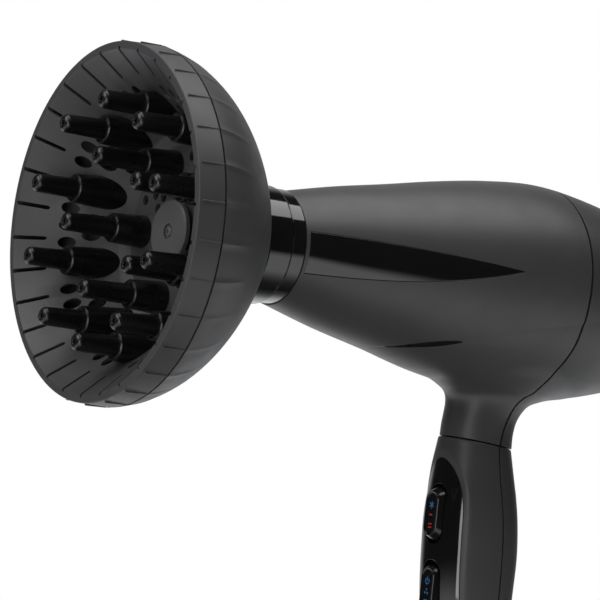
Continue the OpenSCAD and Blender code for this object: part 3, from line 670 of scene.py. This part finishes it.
def grip_loft(z0, z1, count, g=0.0, panel=False, n=200, soft=False):
    """Closed loft of the grip from z0 down to z1, moved inward by g; soft rounds its two ends."""
    t = np.linspace(0, 2 * np.pi, n, endpoint=False)
    rows = [(z, 0.0) for z in np.linspace(z0, z1, count)]
    if soft:
        top_r, low_r = 0.7, 0.5
        head = [(z0 - dz, inset) for dz, inset in quarter_round(top_r, 6)]
        tail = [(z1 + dz, inset) for dz, inset in reversed(quarter_round(low_r, 5))]
        rows = head + [row for row in rows if z1 + low_r < row[0] < z0 - top_r] + tail
    return solid("grip", [grip_points(z, t, g + inset, panel) for z, inset in rows])


def make_grip():
    z0 = JOINT_Z - 0.25
    outer = grip_loft(z0, GRIP_END, 170, soft=True)
    inner = grip_loft(z0 + 4, GRIP_END - 4, 60, WALL, n=96)
    cut(outer, ("DIFFERENCE", inner))
    rear = copy_of(outer)
    pocket = front_prism(panel_outline(0.18), PANEL_FRONT, PANEL_BACK)
    cut(outer, ("INTERSECT", beyond(PARTING, -PARTING_GAP, FAR_AHEAD)), ("DIFFERENCE", pocket))
    screw_holes = []
    for s in (-1, 1):
        h = revolve([(141.5, 0.01), (141.5, 2.7), (175, 2.7), (175, 0.01)], 40)
        h.data.transform(Matrix.Translation((0, s * 8 * MM, -172 * MM)))
        screw_holes.append(h)
    behind = beyond(PARTING, PARTING_GAP, FAR_BEHIND)
    cut(rear, ("INTERSECT", behind), *[("DIFFERENCE", h) for h in screw_holes])
    place(outer, "grip_front_skin", "dryer", "body_plastic", "grip_front_shell")
    place(rear, "grip_rear_skin", "dryer", "rear_plastic", "grip_rear_shell")


def stadium(w, half, n=24):
    """Outline of a capsule in (y, z): half width w, half length half."""
    a = np.linspace(0, math.pi, n)
    up = [(w * math.cos(t), half - w + w * math.sin(t)) for t in a]
    low = [(-w * math.cos(t), -(half - w) - w * math.sin(t)) for t in a]
    return up + low


def stack(levels, x, z, name):
    """Closed solid through capsule outlines: levels are (half width, half length, offset along X)."""
    rings = [[(x + dx, py, z + pz) for py, pz in stadium(w, h)] for w, h, dx in levels]
    return solid(name, rings)


def make_panel():
    face = grip_loft(PANEL_TOP + 6, PANEL_LOW - 6, 150, 0, panel=True, n=260)
    back = grip_loft(PANEL_TOP + 12, PANEL_LOW - 12, 60, 2.4, panel=True, n=96)
    outline = front_prism(panel_outline(0), PANEL_FRONT, PANEL_BACK)
    cut(face, ("INTERSECT", outline), ("DIFFERENCE", back))
    wells = [stack([(6.3, 13.1, -9), (6.3, 13.1, 9)], x, z, "well") for _, _, x, z in ROCKERS]
    cut(face, *[("DIFFERENCE", w) for w in wells])
    place(face, "control_panel_gloss", "dryer", "gloss_black", "control_panel")


def make_rocker(label, body, x, z):
    """Rocker cap with a rounded rim and a dished face, its stem and its bored pivot."""
    levels = [
        (4.9, 11.3, 3.0), (5.4, 11.8, 3.0), (5.4, 11.8, 1.3), (5.3, 11.7, 0.8), (5.0, 11.4, 0.2),
        (4.85, 10.9, -0.6), (4.7, 10.4, -1.4), (4.45, 9.95, -1.95), (4.15, 9.7, -2.2), (3.85, 9.35, -2.2),
        (3.6, 9.1, -2.12), (3.4, 8.9, -1.98), (2.0, 7.5, -1.95),
    ]
    cap = stack(levels, x, z, label)
    stem = block(x + 2.6, x + 8, -4, 4, z - 3, z + 3)
    across = Matrix.Translation(((x + 8) * MM, 0, z * MM)) @ Matrix.Rotation(math.pi / 2, 4, "Z")
    pivot, hole = (revolve([(-h, 0.01), (-h, r), (h, r), (h, 0.01)], 48) for h, r in ((4, 3), (9, 1.05)))
    pivot.data.transform(across)
    hole.data.transform(across)
    cut(cap, ("UNION", stem), ("UNION", pivot), ("DIFFERENCE", hole))
    place(cap, f"{label}_rocker_cap", body, "rocker_plastic", f"{label}_rocker")


# ---------------------------------------------------------------- diffuser
MOUTH_R, SEAM_X, CONE_TOP, CONE_X, FLOOR_X, SLOPE = 73.0, -63.5, 69.3, -74.6, -37.5, 1.242
# Ribs and slots of the rim band stand RIB_STEP degrees apart; the bowl's raised lines carry on from the ribs.
RIBS, RIB_R, RIB_TURN, SLOT_TURN = 30, 73.85, 7.2, 6
RIB_STEP = 360 / RIBS
SLOT_IN, SLOT_OUT, SLOT_HALF = 61.8, 70.2, 0.8
BOWL = np.array([[SEAM_X + 0.8, MOUTH_R + 0.6], [-44, 70.3], [-29, 57], [-9.5, 25.3]])


def dish_x(r):
    return CONE_X + (CONE_TOP - r) * SLOPE


def round_off(profile, corners):
    """Replaces corners of a closed profile with arcs; corners maps an index to a radius."""
    p = [np.array(q, float) for q in profile]
    out = []
    for i, q in enumerate(p):
        if i not in corners:
            out.append(q)
            continue
        a, b = p[i - 1], p[(i + 1) % len(p)]
        da, db = (a - q) / np.linalg.norm(a - q), (b - q) / np.linalg.norm(b - q)
        half = math.acos(np.clip(da @ db, -1, 1)) / 2
        r = corners[i]
        run = min(r / math.tan(half), 0.45 * np.linalg.norm(a - q), 0.45 * np.linalg.norm(b - q))
        for t in np.linspace(0, 1, 6):
            out.append((1 - t) ** 2 * (q + da * run) + 2 * t * (1 - t) * q + t * t * (q + db * run))
    return out


def turn_about_x(obj, degrees):
    obj.data.transform(Matrix.Rotation(math.radians(-degrees), 4, "X"))
    return obj


def drill(x, r, turn, long, wide, lean, depth):
    """Oval cutter at radius r, leaning away from the X axis by lean degrees."""
    a = np.linspace(0, 2 * np.pi, 28, endpoint=False)
    y, z = long * np.cos(a), wide * np.sin(a)
    o = solid("drill", [np.column_stack([np.full(28, d), y, z]) for d in (-depth / 2, depth / 2)])
    o.data.transform(Matrix.Translation((x * MM, -r * MM, 0)) @ Matrix.Rotation(math.radians(-lean), 4, "Z"))
    return turn_about_x(o, turn)


def rim_rib(degrees):
    """Raised rib across the rim band."""
    line = [(-73.6, 72.9), (-73.25, RIB_R), (SEAM_X, RIB_R), (SEAM_X, 72.9)]
    wide = [0.42, 0.24, 0.24, 0.42]
    verts = [(x, -r, s * w) for s in (-1, 1) for (x, r), w in zip(line, wide)]
    faces = [(3, 2, 1, 0), (4, 5, 6, 7), (0, 1, 5, 4), (1, 2, 6, 5), (2, 3, 7, 6), (3, 0, 4, 7)]
    return turn_about_x(outward(new_object("rib", verts, faces)), degrees)


def slot_cutter(degrees):
    """Radial slot with round ends."""
    w = SLOT_HALF
    inner_end = np.linspace(-math.pi / 2, math.pi / 2, 9)
    outer_end = np.linspace(0, math.pi, 9)
    outline = [(SLOT_IN - w * math.cos(t), w * math.sin(t)) for t in inner_end]
    outline += [(SLOT_OUT + w * math.sin(t), w * math.cos(t)) for t in outer_end]
    return turn_about_x(solid("slot", [[(x, -r, z) for r, z in outline] for x in (-80, -58)]), degrees)


def make_dish():
    profile = [
        (SEAM_X, 73.6), (-74.7, 73.05), (-75, 72.75), (-75, 69.8), (CONE_X, CONE_TOP), (dish_x(41.8), 41.8),
        (FLOOR_X - 1.2, 39.2), (FLOOR_X, 36.8), (FLOOR_X, 1.2), (-28.5, 1.2), (-28.5, 5), (FLOOR_X + 1.8, 5),
        (FLOOR_X + 1.8, 37.4), (FLOOR_X + 0.9, 39.9), (dish_x(42.6) + 1.1, 43.4), (dish_x(68.9) + 1.2, 70.2),
        (-71.4, 71.2), (SEAM_X, 71.2),
    ]
    dish = revolve(round_off(profile, {5: 6.0, 6: 3.0, 7: 3.0, 0: 0.15}), 240, "dish")
    ribs = [rim_rib(RIB_TURN + RIB_STEP * i) for i in range(RIBS)]
    cutters = [slot_cutter(SLOT_TURN + RIB_STEP * i) for i in range(RIBS)]
    for k in range(10):
        for r, t in ((55.6, -7.5), (55.6, 0), (55.6, 7.5), (49.3, -3.75), (49.3, 3.75), (43.4, 0)):
            size = 2.4 if r > 45 else 1.9
            lean = 51.2 if r > 45 else 45
            cutters.append(drill(dish_x(r), r, 36 * k + t, size * 1.62, size, lean, 12))
    for k in range(5):
        for r, t in ((21, -8.1), (21, 8.1), (26.3, 0), (31.8, -11.5), (31.8, 11.5)):
            cutters.append(drill(FLOOR_X, r, 72 * k + t, 2.1, 2.1, 0, 12))
    for k in range(10):
        cutters.append(drill(-50, 48.85, 18 + 36 * k, 5.25, 5.25, 0, 40))
    for k in range(5):
        cutters.append(drill(-40, 28.4, 36 + 72 * k, 5.25, 5.25, 0, 20))
    cut(dish, ("UNION", join(ribs, "ribs")))
    cut(dish, ("DIFFERENCE", join(cutters, "cutters")))
    place(dish, "diffuser_dish_shell", "diffuser", "diffuser_plastic", "diffuser_dish")


def make_bowl():
    """Bowl with fine raised lines that carry on from the ribs of the band and die out toward the back."""
    u = np.linspace(0, 1, 56)[:, None]
    line = (1 - u) ** 3 * BOWL[0] + 3 * (1 - u) ** 2 * u * BOWL[1]
    line = line + 3 * (1 - u) * u**2 * BOWL[2] + u**3 * BOWL[3]
    slope = np.gradient(line, axis=0)
    slope /= np.linalg.norm(slope, axis=1)[:, None]
    inner = (line + 2 * np.column_stack([slope[:, 1], -slope[:, 0]]))[3:-4][::-1]
    tail = [(-9, 24.8), (-9, 23.05), (-20.5, 23.05), (-20.5, 25), (-12.6, 25), (-12.6, 26.4)]
    head = [(-59.6, 71.4), (SEAM_X + 0.2, 71.4), (SEAM_X + 0.2, 72.5), (SEAM_X + 0.8, 72.5)]
    profile = np.vstack([line, tail, inner, head])
    lift = np.zeros(len(profile))
    lift[: len(line)] = 0.17 * np.clip((-43 - line[:, 0]) / 16, 0, 1)
    steps = [(-0.42, 0), (-0.2, 1), (0.2, 1), (0.42, 0), (2.2, 0), (4.6, 0), (7.0, 0), (9.4, 0)]
    angles = [(RIB_TURN + RIB_STEP * i + d, h) for i in range(RIBS) for d, h in steps]
    rings = []
    for a, h in angles:
        t = math.radians(a)
        r = profile[:, 1] + lift * h
        rings.append(np.column_stack([profile[:, 0], -r * math.cos(t), r * math.sin(t)]))
    bowl = outward(new_object("bowl", *ring_skin(rings)))
    place(bowl, "diffuser_bowl_shell", "diffuser", "diffuser_plastic", "diffuser_bowl")


# ---------------------------------------------------------------- marks on the rockers
def bar(y0, y1, z0, z1):
    return [(y0, z0), (y1, z0), (y1, z1), (y0, z1)]


def turned_bar(w, long, degrees, z):
    c, s = math.cos(math.radians(degrees)), math.sin(math.radians(degrees))
    return [(y * c - q * s, z + y * s + q * c) for y, q in bar(-w / 2, w / 2, -long / 2, long / 2)]


# The two faces of the print, in mm ahead of a rocker's middle.
PRINT_BACK, PRINT_FACE = 1.93, 2.0


def printed(outlines, label, name):
    """Thin raised print on a rocker's face, from outlines in (y, z) about the rocker's middle."""
    body, x, z = {rocker[0]: rocker[1:] for rocker in ROCKERS}[label]
    parts = [front_prism([(y, z + q) for y, q in o], x - PRINT_BACK, x - PRINT_FACE) for o in outlines]
    first = parts[0]
    for extra in parts[1:]:
        cut(first, ("UNION", extra))
    first.name = first.data.name = name
    shade(first)
    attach(first, body)
    return first


def arc(r, z, degrees):
    """Points in (y, z) on a circle of radius r round (0, z), at angles from straight up."""
    return [(r * math.sin(t), z + r * math.cos(t)) for t in np.radians(degrees)]


def fan_blade(t):
    """Wedge of the fan mark, turned by t radians about the mark's middle."""
    z = -1.0
    return [(r * math.sin(t + d), z + r * math.cos(t + d)) for r, d in ((0.25, 0), (1.5, -0.5), (1.6, 0.35))]


def make_marks():
    """Marks of the heat rocker and the fan, the red heat marks, and the speed marks."""
    wide = 1.1
    flake = [turned_bar(0.42, 3.5, a, 3.6) for a in (0, 60, 120)]
    loop = arc(1.5, 3.7, np.linspace(35, 325, 30)) + arc(1.05, 3.7, np.linspace(325, 35, 30))
    blue = [printed(flake, "heat", "cool_mark")]
    red = []
    for i, (low, high) in enumerate(((-0.97, -0.27), (-4.9, -4.3), (-6.4, -5.8))):
        red.append(printed([bar(-wide, wide, low, high)], "heat", f"heat_mark_{i}"))
    ring = front_prism([(y, SPEED_Z + q) for y, q in loop], SPEED_X - PRINT_BACK, SPEED_X - PRINT_FACE)
    stem = printed([bar(-0.2, 0.2, 3.7, 5.6)], "speed", "power_mark_stem")
    ring.name = ring.data.name = "power_mark"
    shade(ring)
    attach(ring, "speed_switch")
    blue += [ring, stem]
    for i, t in enumerate((0.0, 2.094, 4.189)):
        blue.append(printed([fan_blade(t)], "speed", f"fan_mark_{i}"))
    speed = []
    for i, low in enumerate((-4.9, -6.4)):
        speed.append(printed([bar(-wide, wide, low, low + 0.6)], "speed", f"speed_mark_{i}"))
    return blue, red, speed


make_housings()
make_grip()
make_panel()
for rocker in ROCKERS:
    make_rocker(*rocker)
make_dish()
make_bowl()
blue_marks, red_marks, speed_marks = make_marks()


# ---------------------------------------------------------------- materials
class Graph:
    """Small helper for building a shader from nodes."""

    def __init__(self, name):
        self.material = bpy.data.materials.new(name)
        self.material.use_nodes = True
        self.nodes = self.material.node_tree.nodes
        self.links = self.material.node_tree.links
        self.shader = self.nodes["Principled BSDF"]
        self.where = self.add("ShaderNodeTexCoord").outputs["Object"]

    def add(self, kind, **facts):
        node = self.nodes.new(kind)
        for key, value in facts.items():
            setattr(node, key, value)
        return node

    def noise(self, size_mm, detail=2.0, rough=0.5, stretch=None):
        """Noise with features of about size_mm, from 0 to 1."""
        where = self.where
        if stretch:
            m = self.add("ShaderNodeMapping")
            m.inputs["Scale"].default_value = stretch
            self.links.new(where, m.inputs["Vector"])
            where = m.outputs[0]
        n = self.add("ShaderNodeTexNoise")
        n.inputs["Scale"].default_value = 1000 / size_mm
        n.inputs["Detail"].default_value = detail
        n.inputs["Roughness"].default_value = rough
        self.links.new(where, n.inputs["Vector"])
        return n.outputs[0]

    def remap(self, value, a, b, lo=0.3, hi=0.7):
        m = self.add("ShaderNodeMapRange")
        for i, v in zip((1, 2, 3, 4), (lo, hi, a, b)):
            m.inputs[i].default_value = v
        self.links.new(value, m.inputs[0])
        return m.outputs[0]

    def math(self, what, a, b):
        m = self.add("ShaderNodeMath", operation=what)
        for i, v in enumerate((a, b)):
            if isinstance(v, (int, float)):
                m.inputs[i].default_value = v
            else:
                self.links.new(v, m.inputs[i])
        return m.outputs[0]

    def edge(self, radius_mm, gain):
        """Strength of the painted edge highlight: about gain on sharp edges, 0 on even ground."""
        bevel = self.add("ShaderNodeBevel", samples=4)
        bevel.inputs["Radius"].default_value = radius_mm * MM
        geo = self.add("ShaderNodeNewGeometry")
        dot = self.add("ShaderNodeVectorMath", operation="DOT_PRODUCT")
        self.links.new(bevel.outputs[0], dot.inputs[0])
        self.links.new(geo.outputs["Normal"], dot.inputs[1])
        return self.remap(dot.outputs["Value"], gain, 0.0, 0.75, 0.995)

    def colour(self, base, factor, edge=None, edge_colour=None):
        """Base colour times a factor, mixed toward the edge colour on edges, which paints a highlight along
        them.
        """
        mix = self.add("ShaderNodeMix", data_type="RGBA", blend_type="MULTIPLY")
        mix.inputs[0].default_value = 1.0
        mix.inputs[6].default_value = (*base, 1)
        self.links.new(factor, mix.inputs[7])
        out = mix.outputs[2]
        if edge is not None:
            over = self.add("ShaderNodeMix", data_type="RGBA")
            self.links.new(edge, over.inputs[0])
            self.links.new(out, over.inputs[6])
            over.inputs[7].default_value = (*edge_colour, 1)
            out = over.outputs[2]
        self.links.new(out, self.shader.inputs["Base Color"])

    def bump(self, height, depth_mm, bevel_mm=0.0):
        b = self.add("ShaderNodeBump")
        b.inputs["Strength"].default_value = 1.0
        b.inputs["Distance"].default_value = depth_mm * MM
        self.links.new(height, b.inputs["Height"])
        if bevel_mm:
            bevel = self.add("ShaderNodeBevel", samples=4)
            bevel.inputs["Radius"].default_value = bevel_mm * MM
            self.links.new(bevel.outputs[0], b.inputs["Normal"])
        self.links.new(b.outputs[0], self.shader.inputs["Normal"])


def finish(
    name, base, rough, grain, patch, rough_var=0.05, metal=0.0, edge=0.12, bevel=0.25,
    coat=0.0, specular=0.5, stretch=None, edge_colour=None,
):
    """Grained surface: fine bump, slow change of tone and gloss, and edges painted lighter as a highlight.
    grain is the size and the depth of the bump in mm; patch and rough_var are how much the tone and the
    roughness wander."""
    g = Graph(name)
    s = g.shader
    s.inputs["Metallic"].default_value = metal
    s.inputs["Specular IOR Level"].default_value = specular
    s.inputs["Coat Weight"].default_value = coat
    s.inputs["Coat Roughness"].default_value = 0.06
    slow = g.noise(34, 3, 0.55)
    fine = g.noise(grain[0], 2, 0.6, stretch)
    tone = g.math("MULTIPLY", g.remap(slow, 1 - patch, 1 + patch), g.remap(fine, 0.97, 1.03))
    # The lighter edge colour is a painted highlight on every sharp edge; edge sets how strong it is.
    light = edge_colour or tuple(min(1, c * 1.9 + 0.03) for c in base)
    g.colour(base, tone, g.edge(bevel, edge), light)
    smudge = g.noise(9, 4, 0.6)
    g.links.new(g.remap(smudge, max(0.02, rough - rough_var), rough + rough_var), s.inputs["Roughness"])
    g.bump(fine, grain[1], bevel)
    return g.material


def wound(name, base, rough, size_mm):
    """Metal with fine turned or drawn lines."""
    return finish(name, base, rough, (size_mm, 0.004), 0.08, 0.08, 1.0, 0.2, 0.15, stretch=(0.08, 1, 1))


LOOKS = {
    "diffuser_plastic": finish(
        "diffuser_plastic", (0.042, 0.042, 0.044), 0.47, (0.45, 0.012), 0.05, edge=0.22, bevel=0.3
    ),
    "finger_plastic": finish(
        "finger_plastic", (0.004, 0.004, 0.0045), 0.29, (0.5, 0.004), 0.05, 0.05, edge=0.10, bevel=0.25
    ),
    "deflector_plastic": finish(
        "deflector_plastic", (0.075, 0.075, 0.077), 0.5, (0.4, 0.016), 0.04, edge=0.35, bevel=0.3
    ),
    "body_plastic": finish(
        "body_plastic", (0.042, 0.042, 0.044), 0.42, (0.4, 0.010), 0.05, 0.04, edge=0.05, bevel=0.3
    ),
    "rear_plastic": finish(
        "rear_plastic", (0.036, 0.036, 0.038), 0.43, (0.4, 0.010), 0.05, 0.04, edge=0.05, bevel=0.3
    ),
    "gloss_black": finish(
        "gloss_black", (0.0045, 0.0045, 0.005), 0.07, (1.6, 0.002), 0.1, 0.02, edge=0.3, bevel=0.3, coat=0.5
    ),
    "rocker_plastic": finish(
        "rocker_plastic", (0.006, 0.006, 0.007), 0.16, (0.8, 0.002), 0.1, 0.04, edge=0.12, bevel=0.3
    ),
    "inner_plastic": finish("inner_plastic", (0.020, 0.020, 0.021), 0.5, (0.6, 0.010), 0.08),
    "white_plastic": finish("white_plastic", (0.66, 0.65, 0.60), 0.45, (0.6, 0.008), 0.05, edge=0.05),
    "steel": wound("steel", (0.52, 0.53, 0.54), 0.32, 0.5),
    "mica": finish("mica", (0.50, 0.42, 0.27), 0.38, (2.6, 0.02), 0.22, 0.12, edge=0.2, specular=0.6),
    "heating_wire": wound("heating_wire", (0.42, 0.35, 0.29), 0.42, 0.3),
    "laminations": wound("laminations", (0.30, 0.30, 0.31), 0.45, 0.5),
    "magnet": finish("magnet", (0.045, 0.045, 0.048), 0.62, (0.5, 0.02), 0.12, edge=0.25),
    "copper": wound("copper", (0.72, 0.36, 0.20), 0.3, 0.3),
    "bronze": finish("bronze", (0.50, 0.33, 0.15), 0.42, (0.25, 0.02), 0.1, metal=1.0, edge=0.2),
    "carbon": finish("carbon", (0.025, 0.025, 0.026), 0.55, (0.3, 0.02), 0.12, edge=0.3),
    "rubber": finish("rubber", (0.016, 0.016, 0.016), 0.72, (0.5, 0.02), 0.1, edge=0.1, specular=0.3),
    "circuit_board": finish(
        "circuit_board", (0.03, 0.16, 0.06), 0.35, (0.9, 0.006), 0.1,
        edge=0.25, edge_colour=(0.35, 0.32, 0.18),
    ),
    "wire_sleeve": finish("wire_sleeve", (0.38, 0.03, 0.02), 0.5, (0.7, 0.01), 0.08, edge=0.05),
}
slot_of = {r["node"]: r["material_slot"] for r in frame["record"]["subparts"]}
PRINT = dict(rough=0.4, grain=(0.3, 0.004), patch=0.1, edge=0.0, bevel=0.05)
PRINTS = [
    (blue_marks, finish("blue_print", (0.03, 0.18, 0.42), **PRINT)),
    (red_marks, finish("red_print", (0.55, 0.018, 0.022), **PRINT)),
    (speed_marks, finish("pale_print", (0.03, 0.18, 0.42), **PRINT)),
]
printed_on = {mark.name: ink for marks, ink in PRINTS for mark in marks}
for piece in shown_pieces():
    look = printed_on.get(piece.name) or LOOKS[piece.get("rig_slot") or slot_of[piece.name]]
    piece.data.materials.clear()
    piece.data.materials.append(look)
for obj in nodes.values():
    shade(obj)


# ---------------------------------------------------------------- floor and light
FLOOR_Z, FLOOR_R = -0.36, 0.95


def make_floor():
    """Pale round floor that does not show in any glossy reflection."""
    a = np.linspace(0, 2 * np.pi, 96, endpoint=False)
    rim = [(0.06 + FLOOR_R * math.cos(t), FLOOR_R * math.sin(t)) for t in a]
    verts = [(x, y, z) for z in (FLOOR_Z, FLOOR_Z - 0.01) for x, y in rim]
    n = len(rim)
    faces = [tuple(range(n)), tuple(range(2 * n - 1, n - 1, -1))]
    faces += [(i, n + i, n + (i + 1) % n, (i + 1) % n) for i in range(n)]
    floor = outward(new_object("floor", verts, faces, 1))
    g = Graph("floor")
    g.shader.inputs["Roughness"].default_value = 0.6
    g.colour((0.88, 0.88, 0.87), g.remap(g.noise(120, 3), 0.97, 1.0))
    g.bump(g.noise(1.5), 0.01)
    floor.data.materials.append(g.material)
    floor.visible_glossy = False


def area(name, where, target, wide, high, radiance):
    """Soft box; radiance is how bright its face looks."""
    data = bpy.data.lights.new(name, "AREA")
    data.shape = "RECTANGLE"
    data.size, data.size_y = wide, high
    data.energy = radiance * math.pi * wide * high
    light = bpy.data.objects.new(name, data)
    scene.collection.objects.link(light)
    light.location = where
    light.rotation_mode = "QUATERNION"
    light.rotation_quaternion = (Vector(target) - Vector(where)).to_track_quat("-Z", "Y")
    return light


def make_lights():
    area("top_box", (0.14, -0.15, 1.0), (0.05, 0, 0), 1.1, 1.3, 2.6)
    area("left_box", (-1.15, 0.1, 0.85), (0, 0, 0), 1.3, 0.9, 3.2)
    strip = area("side_strip", (-1.03, -0.98, -0.05), (0.1, 0, -0.1), 0.36, 0.95, 3.8)
    strip.visible_camera = False


def make_world():
    """White for the camera; for the object, a soft glow behind it and a bright band below the horizon."""
    world = bpy.data.worlds.new("World")
    world.use_nodes = True
    n, l = world.node_tree.nodes, world.node_tree.links
    n.clear()

    def ramp(value, lo, hi, a, b):
        m = n.new("ShaderNodeMapRange")
        m.interpolation_type = "SMOOTHSTEP"
        for i, v in zip((1, 2, 3, 4), (lo, hi, a, b)):
            m.inputs[i].default_value = v
        l.new(value, m.inputs[0])
        return m.outputs[0]

    def combine(what, a, b):
        m = n.new("ShaderNodeMath")
        m.operation = what
        l.new(a, m.inputs[0])
        l.new(b, m.inputs[1])
        return m.outputs[0]

    coord = n.new("ShaderNodeTexCoord").outputs["Generated"]
    split = n.new("ShaderNodeSeparateXYZ")
    l.new(coord, split.inputs[0])
    dot = n.new("ShaderNodeVectorMath")
    dot.operation = "DOT_PRODUCT"
    dot.inputs[1].default_value = (0.56, 0.83, 0.0)
    l.new(coord, dot.inputs[0])
    behind = ramp(dot.outputs["Value"], 0.6, 0.92, 0.03, 0.5)
    upper = ramp(split.outputs["Z"], -0.32, -0.12, 1.0, 0.0)
    lower = ramp(split.outputs["Z"], -0.85, -0.6, 0.04, 1.2)
    glow = combine("MAXIMUM", behind, combine("MULTIPLY", upper, lower))
    around, bright = n.new("ShaderNodeBackground"), n.new("ShaderNodeBackground")
    around.inputs[0].default_value = (0.97, 0.98, 1.0, 1)
    l.new(glow, around.inputs[1])
    bright.inputs[0].default_value = (1, 1, 1, 1)
    bright.inputs[1].default_value = 1.0
    mix, path = n.new("ShaderNodeMixShader"), n.new("ShaderNodeLightPath")
    out = n.new("ShaderNodeOutputWorld")
    l.new(path.outputs["Is Camera Ray"], mix.inputs[0])
    l.new(around.outputs[0], mix.inputs[1])
    l.new(bright.outputs[0], mix.inputs[2])
    l.new(mix.outputs[0], out.inputs[0])
    scene.world = world


make_floor()
make_lights()
make_world()
scene.view_settings.view_transform = "Standard"
